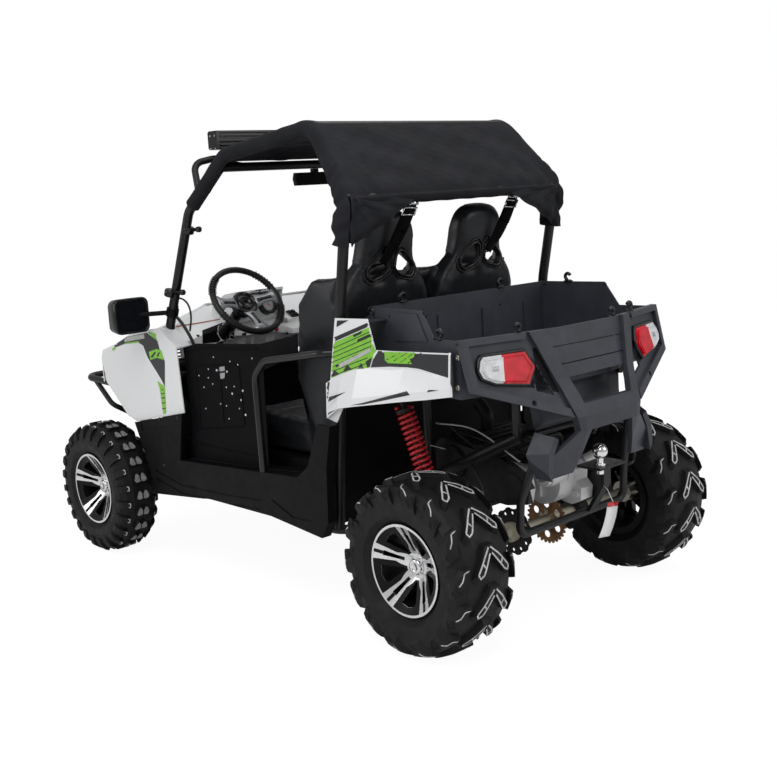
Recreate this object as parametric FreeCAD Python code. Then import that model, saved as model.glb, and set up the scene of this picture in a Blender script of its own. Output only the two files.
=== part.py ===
import FreeCAD, Part
import math
import os

# Side by side utility vehicle with two bucket seats, a tube cage, a fabric canopy and a small cargo bed.
# Millimetres. Z is up, the front faces -Y, the left side is +X, and the ground is Z = 0.
# Inside this file Y = 0 is halfway between the axles. Every sub-part is moved to the frame's origin,
# the bottom centre of the whole vehicle, as it is written out.

os.makedirs("parts", exist_ok=True)

# Driving dimensions: wheels
WHEELBASE = 1796.0
REAR_TRACK = 1036.0
FRONT_TRACK = 1178.0
REAR_TYRE_RADIUS = 279.5
REAR_TYRE_WIDTH = 245.0
FRONT_TYRE_RADIUS = 266.5
FRONT_TYRE_WIDTH = 178.0
BEAD_RADIUS = 127.0
FLANGE_RADIUS = 143.5
REAR_RIM_HALF_WIDTH = 99.0
FRONT_RIM_HALF_WIDTH = 74.0
RIM_WALL = 7.0
RIM_DISH = 58.0
SPOKES = 5
WHEEL_HUB_RADIUS = 38.0
REAR_LUGS = 14
FRONT_LUGS = 24
REAR_LUG_HEIGHT = 18.0
FRONT_LUG_HEIGHT = 14.0
SPROCKET_TEETH = 30
SPROCKET_RADIUS = 84.0
DISC_RADIUS = 80.0
SEAT_GAP = 0.3

# Driving dimensions: length of the whole vehicle
FRONT_REACH = 1290.0
REAR_REACH = 1220.0

# Driving dimensions: lower frame
RAIL_TUBE = 38.0
RAIL_X = REAR_TRACK / 2 - 268
RAIL_Z = 285.0
SIDE_RAIL_X = 470.0
SIDE_RAIL_TUBE = 32.0
RAIL_FRONT_Y = -1080.0
RAIL_KICK_Y = 470.0
FRONT_UPRIGHT_Y = 655.0
REAR_UPRIGHT_Y = REAR_REACH - 175
BEARER_TUBE = 26.0

# Driving dimensions: cage
CAGE_TUBE = 35.0
CROSS_TUBE = 32.0
CAGE_BEND = 70.0
SLEEVE = 8.0
ROOF_CLOTH = 4.0
SLEEVE_FRONT_Z = 1388.0
SLEEVE_REAR_Z = 1242.0
CAGE_FOOT_X = 485.0
PILLAR_FOOT_Y = -545.0
PILLAR_BASE = (498.0, -468.0, 941.0)
PILLAR_TOP = (475.0, -312.0, 1364.0)
ROOF_FRONT = (460.0, -76.0, 1555.0)
ROOF_PEAK = (452.0, 409.0, 1620.0)
ROOF_CORNER = (508.0, 612.0, 1385.0)
POST_KNEE = (500.0, 548.0, 1060.0)
POST_FOOT_Y = 452.0
HOOP_TUBE = 25.0
ROOF_BAR_Z = 1515.0
DASH_BAR_Z = 735.0
LIGHT_BAR_LENGTH = 760.0
LIGHT_BAR_HEIGHT = 68.0
LIGHT_BAR_DEPTH = 58.0
LIGHT_BAR_Y = -262.0
LIGHT_BAR_Z = 1618.0
HOOP_Y = LIGHT_BAR_Y
HOOP_Z = 1552.0
CAGE_FOOT_Z = RAIL_Z + SIDE_RAIL_TUBE / 2 + SEAT_GAP
PILLAR_FOOT = (CAGE_FOOT_X, PILLAR_FOOT_Y, CAGE_FOOT_Z)
POST_FOOT = (CAGE_FOOT_X, POST_FOOT_Y, CAGE_FOOT_Z)

# Driving dimensions: cab and body
PANEL = 4.0
BODY_X = 550.0
TUB_X = 450.0
TUB_FRONT_Y = -625.0
TUB_REAR_Y = 430.0
TUB_WALL = 6.0
FLOOR_Z = RAIL_Z + RAIL_TUBE / 2 + SEAT_GAP
SEAT_BOX_FRONT_Y = -70.0
SEAT_BOX_TOP_Z = 500.0
DASH_Z = 1046.0
SEAT_X = 222.0
SEAT_TOP_Z = 1355.0
HOOD_X = 300.0
LOOP_X = RAIL_X - 35
DASH_END_X = 486.0
DASH_FRONT_Y = -519.0
GROMMET = 0.4
LAMP_OUTLINE = [(318, 706), (452, 712), (472, 748), (440, 776), (330, 780)]
BINNACLE_X = (40.0, 268.0)
POD_X = (209.0, 97.0)
CAB_MIRROR_X = 20.0
TOW_BALL = (0.0, REAR_REACH - 52, 560.0)
TOW_BALL_DIAMETER = 50.0
ENGINE_BAR_Y = 565.0
ENGINE_BAR_Z = 376.0
ENGINE_RIGHT_X = 60 - RAIL_X
ENGINE_LEFT_X = RAIL_X - 100
ENGINE_FRONT_Y = ENGINE_BAR_Y + 25
GEAR_Y = REAR_UPRIGHT_Y - 60
GEAR_Z = 450.0
FINS = 7
EXHAUST_Y = REAR_REACH - 265
SEAT_RECLINE = 9.0

# Driving dimensions: cargo bed
BED_X = 476.0
BED_FRONT_X = 426.0
BED_FRONT_Y = 602.0
BED_FLOOR_Z = 790.0
BED_RIM_Z = 962.0
BED_HEAD_Z = 1043.0
BED_WALL = 6.0
BED_BEARER_Z = BED_FLOOR_Z - BEARER_TUBE / 2 - SEAT_GAP

# Driving dimensions: tail
TAIL_X = 492.0
TAIL_FLAT = 130.0
TAIL_SWEEP = 0.24
TAIL_SKIN = 22.0
TAIL_TOP_Y = REAR_REACH - 80
TAIL_FOOT_Y = REAR_REACH - 42
TAIL_STEP = 14.0
TAIL_TOP_Z = 968.0
TAIL_LEAN = 0.25
BED_REAR_Y = TAIL_TOP_Y + TAIL_LEAN * (TAIL_TOP_Z - BED_RIM_Z) - TAIL_SKIN - SEAT_GAP

# Driving dimensions: steering
WHEEL_CENTRE = (280.0, -261.0, 1019.0)
WHEEL_RING_RADIUS = 143.0
WHEEL_RING_TUBE = 24.0
COLUMN_ANGLE = 37.7
KINGPIN_X = FRONT_TRACK / 2 - 91
RACK_Y = -798.0
RACK_Z = 332.0

# Driving dimensions: suspension
NOSE_TUBE_X = 175.0
ARM_RAIL_Z = 455.0
ARM_TUBE = 24.0
ARM_PIVOT_TUBE = 30.0
ARM_SPREAD = 85.0
BALL_JOINT_RISE = 76.0
BALL_JOINT_LENGTH = 32.0
SHOCK_PIN = 12.0
SHOCK_EYE = 30.0
SHOCK_EYE_WIDTH = 26.0
SPRING_OUTER = 54.0
SPRING_COLLAR = 60.0
PIN_CLEARANCE = 0.6
FRONT_SHOCK_TOP = (NOSE_TUBE_X + 61, -WHEELBASE / 2, 668.0)
FRONT_SHOCK_LOW = (KINGPIN_X - 126, -WHEELBASE / 2, 250.0)
REAR_SHOCK_TOP = (RAIL_X + 130, 668.0, 752.0)
REAR_SHOCK_LOW = (RAIL_X + 98, 775.0, 408.0)
SPRING_WIRE = 8.5
REAR_COIL_PITCH = 17.0
FRONT_COIL_PITCH = 20.0

# Places that follow from the values above
FRONT_AXLE_Y = -WHEELBASE / 2
REAR_AXLE_Y = WHEELBASE / 2
REAR_HUB_Z = REAR_TYRE_RADIUS
FRONT_HUB_Z = FRONT_TYRE_RADIUS
SHIFT_Y = (FRONT_REACH - REAR_REACH) / 2


def V(x, y, z):
    return FreeCAD.Vector(x, y, z)


def vec(point, side=1):
    return V(side * point[0], point[1], point[2])


def between(low, high, z):
    """The point at height z on the line through two points."""
    share = (z - low[2]) / (high[2] - low[2])
    return vec(low) + (vec(high) - vec(low)) * share


# Places that follow from the cage and the tail
ROOF_BAR = between(PILLAR_TOP, ROOF_FRONT, ROOF_BAR_Z)
DASH_BAR = between(PILLAR_FOOT, PILLAR_BASE, DASH_BAR_Z)
RAIL_END = V(RAIL_X, REAR_UPRIGHT_Y + 10, 640)
BED_CORNER_Y = BED_REAR_Y - TAIL_SWEEP * (BED_X - TAIL_FLAT)


def save(name, shape):
    moved = shape.copy()
    moved.translate(V(0, SHIFT_Y, 0))
    moved.exportStep("parts/" + name + ".step")


def grown(points, gap):
    """A closed outline with every side moved outward by a gap."""
    ring = Part.Face(Part.makePolygon([V(u, v, 0) for u, v in points + points[:1]]))
    wire = ring.makeOffset2D(gap, 2, False, False, True).OuterWire
    return [(corner.X, corner.Y) for corner in wire.OrderedVertexes]


def mirror(shape):
    return shape.mirror(V(0, 0, 0), V(1, 0, 0))


def both(shape):
    return Part.makeCompound([shape, mirror(shape)])


def fuse(shapes):
    return shapes[0].fuse(list(shapes[1:])).removeSplitter()


def box(x0, x1, y0, y1, z0, z1):
    return Part.makeBox(x1 - x0, y1 - y0, z1 - z0, V(x0, y0, z0))


def rod(start, end, diameter):
    run = end - start
    return Part.makeCylinder(diameter / 2, run.Length, start, run)


def tube(points, diameter, bend=CAGE_BEND):
    """A round bar along a route, with an arc at each corner."""
    edges = []
    last = points[0]
    for before, corner, after in zip(points, points[1:], points[2:]):
        into = (corner - before).normalize()
        out = (after - corner).normalize()
        half = into.getAngle(out) / 2
        room = min((corner - before).Length, (after - corner).Length) * 0.45
        cut = min(bend * math.tan(half), room)
        radius = cut / math.tan(half)
        start = corner - into * cut
        end = corner + out * cut
        middle_way = (out - into).normalize()
        middle = corner + middle_way * (radius / math.cos(half) - radius)
        edges.append(Part.LineSegment(last, start).toShape())
        edges.append(Part.Arc(start, middle, end).toShape())
        last = end
    edges.append(Part.LineSegment(last, points[-1]).toShape())
    path = Part.Wire(edges)
    ring = Part.Wire([Part.makeCircle(diameter / 2, points[0], points[1] - points[0])])
    return path.makePipeShell([ring], True, False)


def face_yz(points, x=0.0):
    return Part.Face(Part.makePolygon([V(x, y, z) for y, z in points + points[:1]]))


def face_xz(points, y=0.0):
    return Part.Face(Part.makePolygon([V(x, y, z) for x, z in points + points[:1]]))


def face_xy(points, z=0.0):
    return Part.Face(Part.makePolygon([V(x, y, z) for x, y in points + points[:1]]))


def slab_x(points, x0, x1):
    """A side-view outline, made solid from x0 to x1."""
    return face_yz(points, x0).extrude(V(x1 - x0, 0, 0))


def slab_y(points, y0, y1):
    return face_xz(points, y0).extrude(V(0, y1 - y0, 0))


def slab_z(points, z0, z1):
    return face_xy(points, z0).extrude(V(0, 0, z1 - z0))


def loft(sections):
    wires = [Part.makePolygon(points + points[:1]) for points in sections]
    return Part.makeLoft(wires, True, True)


def turned(profile, y, z):
    """A profile of (x, radius) pairs, turned about an axle along X."""
    ring = Part.Face(Part.makePolygon([V(x, y, z + r) for x, r in profile + profile[:1]]))
    return ring.revolve(V(0, y, z), V(1, 0, 0), 360)


def tread_block(axle, turn, outline, foot, tip):
    """A tapering block of tread over an outline of (across, along) points, from its foot to past the tip."""
    a = math.radians(turn)
    out = V(0, math.sin(a), math.cos(a))
    along = V(0, math.cos(a), -math.sin(a))
    middle_x = sum(x for x, s in outline) / len(outline)
    middle_s = sum(s for x, s in outline) / len(outline)
    rings = []
    for radius, scale in ((foot, 1.3), (tip, 0.95)):
        points = [axle + out * radius + V(middle_x + (x - middle_x) * scale, 0, 0)
                  + along * (middle_s + (s - middle_s) * scale) for x, s in outline]
        rings.append(Part.makePolygon(points + points[:1]))
    return Part.makeLoft(rings, True, True)


def rear_tread(axle, half, radius):
    """Chevrons whose points lead when the wheel rolls forward, each with a bar on either shoulder."""
    blocks = []
    low = radius - REAR_LUG_HEIGHT
    for k in range(REAR_LUGS):
        turn = 180 + 360 / REAR_LUGS * k
        for s in (1, -1):
            leg = [(2, -44), (20, -44), (half * 0.54, 30), (half * 0.49, 44), (half * 0.36, 36), (2, -22)]
            bar = [(half * 0.69, -34), (half * 0.85, -26), (half * 1.05, 26), (half * 1.05, 50), (half * 0.88, 44)]
            blocks.append(tread_block(axle, turn, [(s * x, u) for x, u in leg], low - 16, radius + 6))
            blocks.append(tread_block(axle, turn + 7, [(s * x, u) for x, u in bar], low - 60, radius + 6))
    return blocks


def front_tread(axle, half, radius):
    """Pairs of teardrop blocks on the crown and staggered bars on the shoulders."""
    blocks = []
    low = radius - FRONT_LUG_HEIGHT
    pitch = 360 / FRONT_LUGS
    for k in range(FRONT_LUGS):
        turn = 180 + pitch * k
        for s in (1, -1):
            drop = [(2, 15), (3, -5), (11, -17), (19, -13), (27, 8), (22, 16), (12, 17)]
            bar = [(half * 0.56, -11), (half * 0.78, -13), (half * 1.04, -9), (half * 1.04, 12), (half * 0.60, 9)]
            blocks.append(tread_block(axle, turn, [(s * x, u) for x, u in drop], low - 10, radius + 5))
            blocks.append(tread_block(axle, turn + pitch / 2, [(s * x, u) for x, u in bar], low - 44, radius + 5))
    return blocks


def tyre(track, radius, width, rim_half, y, lug_height, tread):
    """Carcass of revolution with the blocks of its tread, which are cut to the tyre's crown."""
    x = track / 2
    half = width / 2
    bead = BEAD_RADIUS + SEAT_GAP
    inner = rim_half - 9 - SEAT_GAP
    low = radius - lug_height
    wall = [(inner, FLANGE_RADIUS + 2), (half * 0.93, FLANGE_RADIUS + 24), (half * 0.96, radius - 74),
            (half * 0.90, low - 28), (half * 0.70, low - 8), (half * 0.36, low)]
    crown = [(half * 0.90, FLANGE_RADIUS + 36), (half * 0.985, radius - 64), (half * 0.985, radius - 44),
             (half * 0.90, radius - 22), (half * 0.62, radius - 5), (half * 0.30, radius)]
    carcass = [(-inner, bead), (inner, bead)] + wall + [(-u, r) for u, r in reversed(wall)]
    envelope = crown + [(-u, r) for u, r in reversed(crown)]
    carcass = turned([(x + u, r) for u, r in carcass], y, radius)
    envelope = turned([(x + u, r) for u, r in envelope], y, radius)
    blocks = envelope.common(Part.makeCompound(tread(V(x, y, radius), half, radius)))
    return carcass.fuse(blocks.Solids)


def polar(x, y, z, radius, degrees):
    a = math.radians(degrees)
    return V(x, y + radius * math.sin(a), z + radius * math.cos(a))


def rim(track, half, y, z):
    """Barrel, dished face with five split spokes, and centre cap."""
    x = track / 2
    lip = x + half
    barrel = turned([(x - half, FLANGE_RADIUS), (x - half + 8, FLANGE_RADIUS), (x - half + 8, BEAD_RADIUS),
                     (lip - 8, BEAD_RADIUS), (lip - 8, FLANGE_RADIUS), (lip, FLANGE_RADIUS),
                     (lip, FLANGE_RADIUS - 8), (lip - 10, BEAD_RADIUS - RIM_WALL),
                     (x - half, BEAD_RADIUS - RIM_WALL)], y, z)
    hub_x = lip - RIM_DISH
    reach = BEAD_RADIUS - RIM_WALL + 1
    dish = turned([(hub_x - 22, 0), (hub_x, 0), (hub_x, WHEEL_HUB_RADIUS), (lip - 9, reach),
                   (lip - 29, reach), (hub_x - 22, WHEEL_HUB_RADIUS + 8)], y, z)
    cuts = []
    deep = V(-(RIM_DISH + 60), 0, 0)
    for k in range(SPOKES):
        turn = 360.0 / SPOKES * k
        middle = turn + 180.0 / SPOKES
        corners = [(48, middle - 2.5), (114, middle - 15.5), (117.5, middle), (114, middle + 15.5), (48, middle + 2.5)]
        outline = Part.makePolygon([polar(lip + 5, y, z, r, a) for r, a in corners + corners[:1]])
        cuts.append(Part.Face(outline).extrude(deep))
        corners = [(64, turn - 5), (110, turn - 4.6), (110, turn + 4.6), (64, turn + 5)]
        outline = Part.makePolygon([polar(lip + 5, y, z, r, a) for r, a in corners + corners[:1]])
        cuts.append(Part.Face(outline).extrude(deep))
    face = dish.cut(Part.makeCompound(cuts))
    cap = Part.makeCone(27, 22, 12, V(hub_x, y, z), V(1, 0, 0))
    return fuse([barrel, face, cap])


def lower_frame():
    """Main rails, side rails, front bulkhead, shock towers and the rear kick-up that carries the bed."""
    rail = [V(RAIL_X, RAIL_FRONT_Y, RAIL_Z + 60), V(RAIL_X, -930, RAIL_Z), V(RAIL_X, RAIL_KICK_Y, RAIL_Z),
            V(RAIL_X, 640, 440), RAIL_END]
    parts = []
    for side in (1, -1):
        parts.append(tube([V(side * p.x, p.y, p.z) for p in rail], RAIL_TUBE, 90))
        outer = [V(side * RAIL_X, -585, RAIL_Z), V(side * SIDE_RAIL_X, PILLAR_FOOT_Y, RAIL_Z),
                 V(side * SIDE_RAIL_X, POST_FOOT_Y + 8, RAIL_Z), V(side * RAIL_X, RAIL_KICK_Y - 14, RAIL_Z)]
        parts.append(tube(outer, SIDE_RAIL_TUBE, 60))
        x = side * NOSE_TUBE_X
        front = [V(x, RAIL_FRONT_Y + 14, RAIL_Z + 60), V(x, -1040, 690), V(x, -660, 740), V(x, -655, RAIL_Z)]
        parts.append(tube(front, SIDE_RAIL_TUBE, 60))
        parts.append(rod(V(x, -1057, ARM_RAIL_Z), V(x, -657, ARM_RAIL_Z), SIDE_RAIL_TUBE - 4))
        for y, z in ((FRONT_UPRIGHT_Y, 455), (REAR_UPRIGHT_Y, 632)):
            parts.append(rod(V(side * RAIL_X, y, z), V(side * RAIL_X, y, BED_BEARER_Z), SIDE_RAIL_TUBE - 2))
        parts.append(rod(V(side * RAIL_X, FRONT_UPRIGHT_Y - 30, BED_BEARER_Z),
                         V(side * RAIL_X, REAR_UPRIGHT_Y + 30, BED_BEARER_Z), BEARER_TUBE))
        parts += front_shock_tower(side)
        top = vec(REAR_SHOCK_TOP, side)
        reach = V(side * (SHOCK_EYE_WIDTH / 2 + SEAT_GAP), 0, 0)
        parts.append(rod(V(side * RAIL_X, top.y, top.z), top - reach, ARM_TUBE))
        parts.append(rod(top - reach * 2, top + reach * 1.3, SHOCK_PIN))
    for y, z, wide in ((RAIL_FRONT_Y + 14, RAIL_Z + 58, RAIL_X), (-655, RAIL_Z, RAIL_X),
                       (-90, RAIL_Z, SIDE_RAIL_X), (RAIL_KICK_Y - 14, RAIL_Z, RAIL_X),
                       (ENGINE_BAR_Y, ENGINE_BAR_Z, RAIL_X),
                       (REAR_UPRIGHT_Y, 635, RAIL_X), (-1038, 684, NOSE_TUBE_X), (-662, 734, NOSE_TUBE_X),
                       (FRONT_UPRIGHT_Y, BED_BEARER_Z - 60, RAIL_X)):
        parts.append(rod(V(-wide, y, z), V(wide, y, z), SIDE_RAIL_TUBE - 4))
    return fuse(parts)


def front_shock_tower(side):
    """Two ears on the nose tube with the pin of the upper shock eye."""
    top = vec(FRONT_SHOCK_TOP, side)
    inner = SHOCK_EYE_WIDTH / 2 + SEAT_GAP
    ear = [(side * (NOSE_TUBE_X - 6), 722), (side * (NOSE_TUBE_X - 6), 694), (top.x - side * 4, top.z - 13),
           (top.x + side * 10, top.z - 6), (top.x + side * 10, top.z + 10)]
    plates = [slab_y(ear, top.y + inner, top.y + inner + 6), slab_y(ear, top.y - inner - 6, top.y - inner)]
    return plates + [rod(top - V(0, inner + 8, 0), top + V(0, inner + 8, 0), SHOCK_PIN)]


def side_tube(diameter, side=1):
    """One side of the cage, from the pillar's foot over the roof to the rear post's foot."""
    route = (PILLAR_FOOT, PILLAR_BASE, PILLAR_TOP, ROOF_FRONT, ROOF_PEAK, ROOF_CORNER, POST_KNEE, POST_FOOT)
    return tube([vec(point, side) for point in route], diameter)


def cage_bars(diameter):
    """Cross bars between the two sides of the cage."""
    bars = []
    for at in (ROOF_BAR, vec(ROOF_PEAK), vec(ROOF_CORNER), between(POST_FOOT, POST_KNEE, 930), DASH_BAR):
        bars.append(rod(V(-at.x, at.y, at.z), V(at.x, at.y, at.z), diameter))
    return bars


def hoop_tube(diameter, side=1):
    """One half of the small hoop for the light bar."""
    start = between(PILLAR_TOP, ROOF_FRONT, 1422)
    hoop = [V(side * start.x, start.y, start.z), V(side * 455, HOOP_Y - 22, HOOP_Z - 14),
            V(side * 385, HOOP_Y, HOOP_Z), V(-side, HOOP_Y, HOOP_Z)]
    return tube(hoop, diameter, 40)


def cage():
    """Welded tube cage: two side hoops, cross bars and the small hoop for the light bar."""
    parts = []
    for side in (1, -1):
        parts.append(side_tube(CAGE_TUBE, side))
        parts.append(hoop_tube(HOOP_TUBE, side))
    return fuse(parts + cage_bars(CROSS_TUBE))


def floor_tub():
    """Moulded cab floor with firewall, low side walls and the seat box."""
    outer = [(TUB_FRONT_Y, FLOOR_Z), (TUB_REAR_Y, FLOOR_Z), (TUB_REAR_Y, 700), (TUB_REAR_Y - TUB_WALL, 700),
             (TUB_REAR_Y - TUB_WALL, SEAT_BOX_TOP_Z), (SEAT_BOX_FRONT_Y, SEAT_BOX_TOP_Z),
             (SEAT_BOX_FRONT_Y - 30, FLOOR_Z + TUB_WALL), (-500, FLOOR_Z + TUB_WALL),
             (TUB_FRONT_Y + 30, 420), (TUB_FRONT_Y + 30, 700), (TUB_FRONT_Y, 700)]
    body = slab_x(outer, -TUB_X, TUB_X)
    under = box(-TUB_X + 30, TUB_X - 30, SEAT_BOX_FRONT_Y + 10, TUB_REAR_Y - 8, FLOOR_Z - 1, SEAT_BOX_TOP_Z - TUB_WALL)
    body = body.cut(under)
    wall = [(TUB_FRONT_Y, FLOOR_Z), (TUB_REAR_Y, FLOOR_Z), (TUB_REAR_Y, 500), (340, 470), (-380, 432),
            (-430, 620), (TUB_FRONT_Y, 700)]
    left = slab_x(wall, TUB_X - TUB_WALL, TUB_X)
    return fuse([body, left, mirror(left)])


def ledge_z(y):
    """Height of the door threshold, which rises to the rear."""
    return 434 + (y + 380) * 40 / 718


def sill():
    """Side skirt with door threshold and the tail that covers the foot of the rear post."""
    skirt = [(-692, 548), (-640, 440), (-606, 362), (-590, 272), (-183, 312), (153, 314), (450, 283),
             (487, 340), (496, 525), (527, 668), (462, 668), (400, 520), (338, ledge_z(338)),
             (-380, ledge_z(-380)), (-342, 618)]
    outer = slab_x(skirt, BODY_X, BODY_X + 12)
    ledge = [(-380, ledge_z(-380)), (338, ledge_z(338)), (400, 520), (400, 514), (338, ledge_z(338) - 6),
             (-380, ledge_z(-380) - 6)]
    shelf = slab_x(ledge, TUB_X + SEAT_GAP, BODY_X)
    foot = box(TUB_X + 40, BODY_X, -560, 430, 318, 324)
    tail = slab_x([(450, 283), (487, 340), (496, 525), (527, 668), (519, 668), (488, 525), (479, 342), (446, 292)],
                  TUB_X + 74, BODY_X)
    skin = BODY_X + 12
    grooves = []
    for drop in (96, 128):
        line = [(-560, 470 - drop), (-380, 440 - drop), (-100, 448 - drop), (120, 462 - drop), (120, 453 - drop),
                (-100, 439 - drop), (-380, 431 - drop), (-560, 461 - drop)]
        grooves.append(slab_x(line, skin - 3, skin + 1))
    grooves.append(slab_x([(180, 372), (430, 400), (400, 330), (300, 326)], skin - 3, skin + 1))
    grooves.append(slab_x([(-640, 520), (-420, 560), (-440, 600), (-650, 550)], skin - 3, skin + 1))
    whole = fuse([outer, shelf, foot, tail]).cut(side_tube(CAGE_TUBE + 8))
    return whole.cut(Part.makeCompound(grooves))


def nose_plan(outward, inward):
    """Plan view of the slanted front of a wing, as a band about its outer face."""
    return [(HOOD_X + SEAT_GAP, -1120 - outward), (470, -1010 - outward), (BODY_X, -929 - outward),
            (BODY_X, -929 + inward), (470, -1010 + inward), (HOOD_X + SEAT_GAP, -1120 + inward)]


def fender():
    """Front wing: side face, crowned top and arch lip over the wheel."""
    inner = HOOD_X + SEAT_GAP
    face = [(-930, 790), (-905, 690), (-757, 566), (-692, 550), (-342, 620), (-359, 869), (-472, 935),
            (-654, 912), (-820, 850), (-915, 822)]
    skin = slab_x(face, BODY_X - PANEL, BODY_X)
    top_line = [(-930, 790), (-915, 822), (-820, 850), (-654, 912), (-472, 935), (-359, 869)]
    under_line = [(-359, 864), (-472, 930), (-654, 907), (-820, 845), (-911, 817), (-926, 786)]
    crown = slab_x(top_line + under_line, inner, BODY_X)
    front = slab_z(nose_plan(0, 6), 690, 792)
    top = slab_z([(inner, -1116), (470, -1008), (BODY_X, -928), (BODY_X, -920), (inner, -920)], 786, 792)
    wing = fuse([skin, crown, front, top])
    opening = slab_y(grown(LAMP_OUTLINE, SEAT_GAP), -1200, -900)
    dash_room = box(inner, DASH_END_X + SEAT_GAP, DASH_FRONT_Y - SEAT_GAP, -300, 600, 1100)
    return wing.cut(side_tube(CAGE_TUBE + 2 * GROMMET)).cut(opening).cut(dash_room)


def hood():
    """Sloping hood between the wings, with the nose that holds the grille."""
    line = [(-1180, 640), (-1185, 760), (-1150, 812), (-900, 880), (-560, 985), (-520, 1000), (-520, 994),
            (-560, 979), (-900, 874), (-1148, 806), (-1179, 758), (-1174, 640)]
    body = slab_x(line, -HOOD_X, HOOD_X)
    cheek = slab_x([(-1180, 640), (-1185, 760), (-1150, 812), (-900, 880), (-560, 985), (-520, 1000),
                    (-520, 930), (-640, 905), (-820, 840), (-1100, 785), (-1110, 640)], HOOD_X - 6, HOOD_X)
    mouth = box(-210, 210, -1200, -1160, 668, 752)
    return fuse([body, cheek, mirror(cheek)]).cut(mouth)


def grille():
    bars = [box(-209.5, 209.5, -1176, -1164, 668.5, 674), box(-209.5, 209.5, -1176, -1164, 746, 751.5)]
    for k in range(4):
        z = 686 + 16 * k
        bars.append(box(-209.5, 209.5, -1175, -1167, z, z + 7))
    for x in (-209.5, -72, 66, 203.5):
        bars.append(box(x, x + 6, -1176, -1164, 668.5, 751.5))
    return fuse(bars)


def headlight():
    """Lamp body whose face follows the slanted front of the wing."""
    face = slab_y(LAMP_OUTLINE, -1200, -900).common(slab_z(nose_plan(5, 26), 640, 800))
    middle = V(392, -1036, 736)
    return face.fuse(rod(middle, middle + V(0, 70, 0), 60))


def dash():
    """White moulding from side to side, with a hooded binnacle beside the steering wheel."""
    def shelf(x, front_z, rear_z):
        return [V(x, DASH_FRONT_Y, front_z), V(x, -430, rear_z), V(x, -424, rear_z - 50), V(x, -432, rear_z - 50),
                V(x, -438, rear_z - 8), V(x, DASH_FRONT_Y, front_z - 8)]

    ends = ((-DASH_END_X, 915, 866), (-HOOD_X, 990, 905), (HOOD_X, 990, 905), (DASH_END_X, 915, 866))
    base = loft([shelf(x, a, b) for x, a, b in ends])
    hooded = [(DASH_FRONT_Y, 985), (-430, 1034), (-350, DASH_Z), (-344, DASH_Z - 9), (-412, 1020), (-380, 925),
              (-356, 912), (-300, 900), (-296, 880), (-420, 872), (DASH_FRONT_Y, 940)]
    binnacle = slab_x(hooded, BINNACLE_X[0], BINNACLE_X[1])
    console = slab_x([(-400, 935), (-356, 912), (-196, 894), (-190, 876), (-420, 872)], BINNACLE_X[0] - 90, 120)
    hollow = slab_x([(-500, 950), (-425, 985), (-392, 915), (-360, 898), (-420, 884), (-500, 935)],
                    BINNACLE_X[0] + 6, BINNACLE_X[1] - 6)
    cheek = [(-430, 1034), (-350, DASH_Z), (-368, 930), (-400, 915)]
    sides = []
    for x in (BINNACLE_X[0], BINNACLE_X[1] - 8):
        sides.append(slab_x(cheek, x, x + 8))
    shell = fuse([base, binnacle, console] + sides).cut(hollow)
    way = column_way()
    shell = shell.cut(rod(vec(WHEEL_CENTRE), vec(WHEEL_CENTRE) + way * 420, 60))
    for side in (1, -1):
        shell = shell.cut(side_tube(CAGE_TUBE + 2 * GROMMET, side))
    return shell


def column_way():
    a = math.radians(COLUMN_ANGLE)
    return V(0, -math.cos(a), -math.sin(a))


def gauges():
    """Two round instrument pods on the face of the binnacle."""
    out = V(0, 95, 32).normalize()
    pods = []
    for x in POD_X:
        seat_point = V(x, -396, 972.5) + out * SEAT_GAP
        cup = rod(seat_point, seat_point + out * 26, 76)
        cup = cup.cut(rod(seat_point + out * 20, seat_point + out * 27, 62))
        pods.append(cup)
    return Part.makeCompound(pods)


def steering_wheel():
    way = column_way()
    centre = vec(WHEEL_CENTRE)
    ring = Part.makeTorus(WHEEL_RING_RADIUS, WHEEL_RING_TUBE / 2, centre, way)
    across = V(1, 0, 0)
    up = way.cross(across)
    up = up * (1 if up.z > 0 else -1)
    hub_centre = centre + way * 42
    parts = [ring, rod(centre + way * 22, centre + way * 52, 86)]
    for direction in (across, across * -1, up * -1):
        parts.append(rod(hub_centre - way * 8 + direction * 30, centre + direction * WHEEL_RING_RADIUS, 16))
    parts.append(rod(centre + way * 50, centre + way * 92, 30))
    return fuse(parts)


def steering_gear():
    """Column jacket, joint shaft and the tube that holds the rack."""
    way = column_way()
    top = vec(WHEEL_CENTRE) + way * (92 + SEAT_GAP)
    knee = vec(WHEEL_CENTRE) + way * 470
    jacket = rod(top, knee, 42)
    shaft = rod(knee - way * 10, V(60, RACK_Y, RACK_Z + 24), 20)
    housing = rod(V(-150, RACK_Y, RACK_Z), V(150, RACK_Y, RACK_Z), 44)
    bore = rod(V(-151, RACK_Y, RACK_Z), V(151, RACK_Y, RACK_Z), 25)
    feet = box(-120, -90, RACK_Y - 16, RACK_Y + 16, RAIL_Z - 10, RACK_Z - 16)
    x = WHEEL_CENTRE[0]
    bracket = box(x - 14, x + 14, DASH_BAR.y - 12, DASH_BAR.y + 12, DASH_BAR.z + CROSS_TUBE / 2 + SEAT_GAP, 842)
    gear = fuse([jacket, shaft, housing, feet, mirror(feet), bracket])
    return gear.cut(bore)


def rack():
    """Rack bar with both tie rods."""
    eye_x = KINGPIN_X - 30
    bar = rod(V(-235, RACK_Y, RACK_Z), V(235, RACK_Y, RACK_Z), 24)
    parts = [bar]
    for side in (1, -1):
        parts.append(rod(V(side * 230, RACK_Y, RACK_Z), V(side * eye_x, RACK_Y, RACK_Z), 14))
        parts.append(rod(V(side * eye_x, RACK_Y, RACK_Z - 10), V(side * eye_x, RACK_Y, RACK_Z + 10), 24))
    return fuse(parts)


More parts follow.
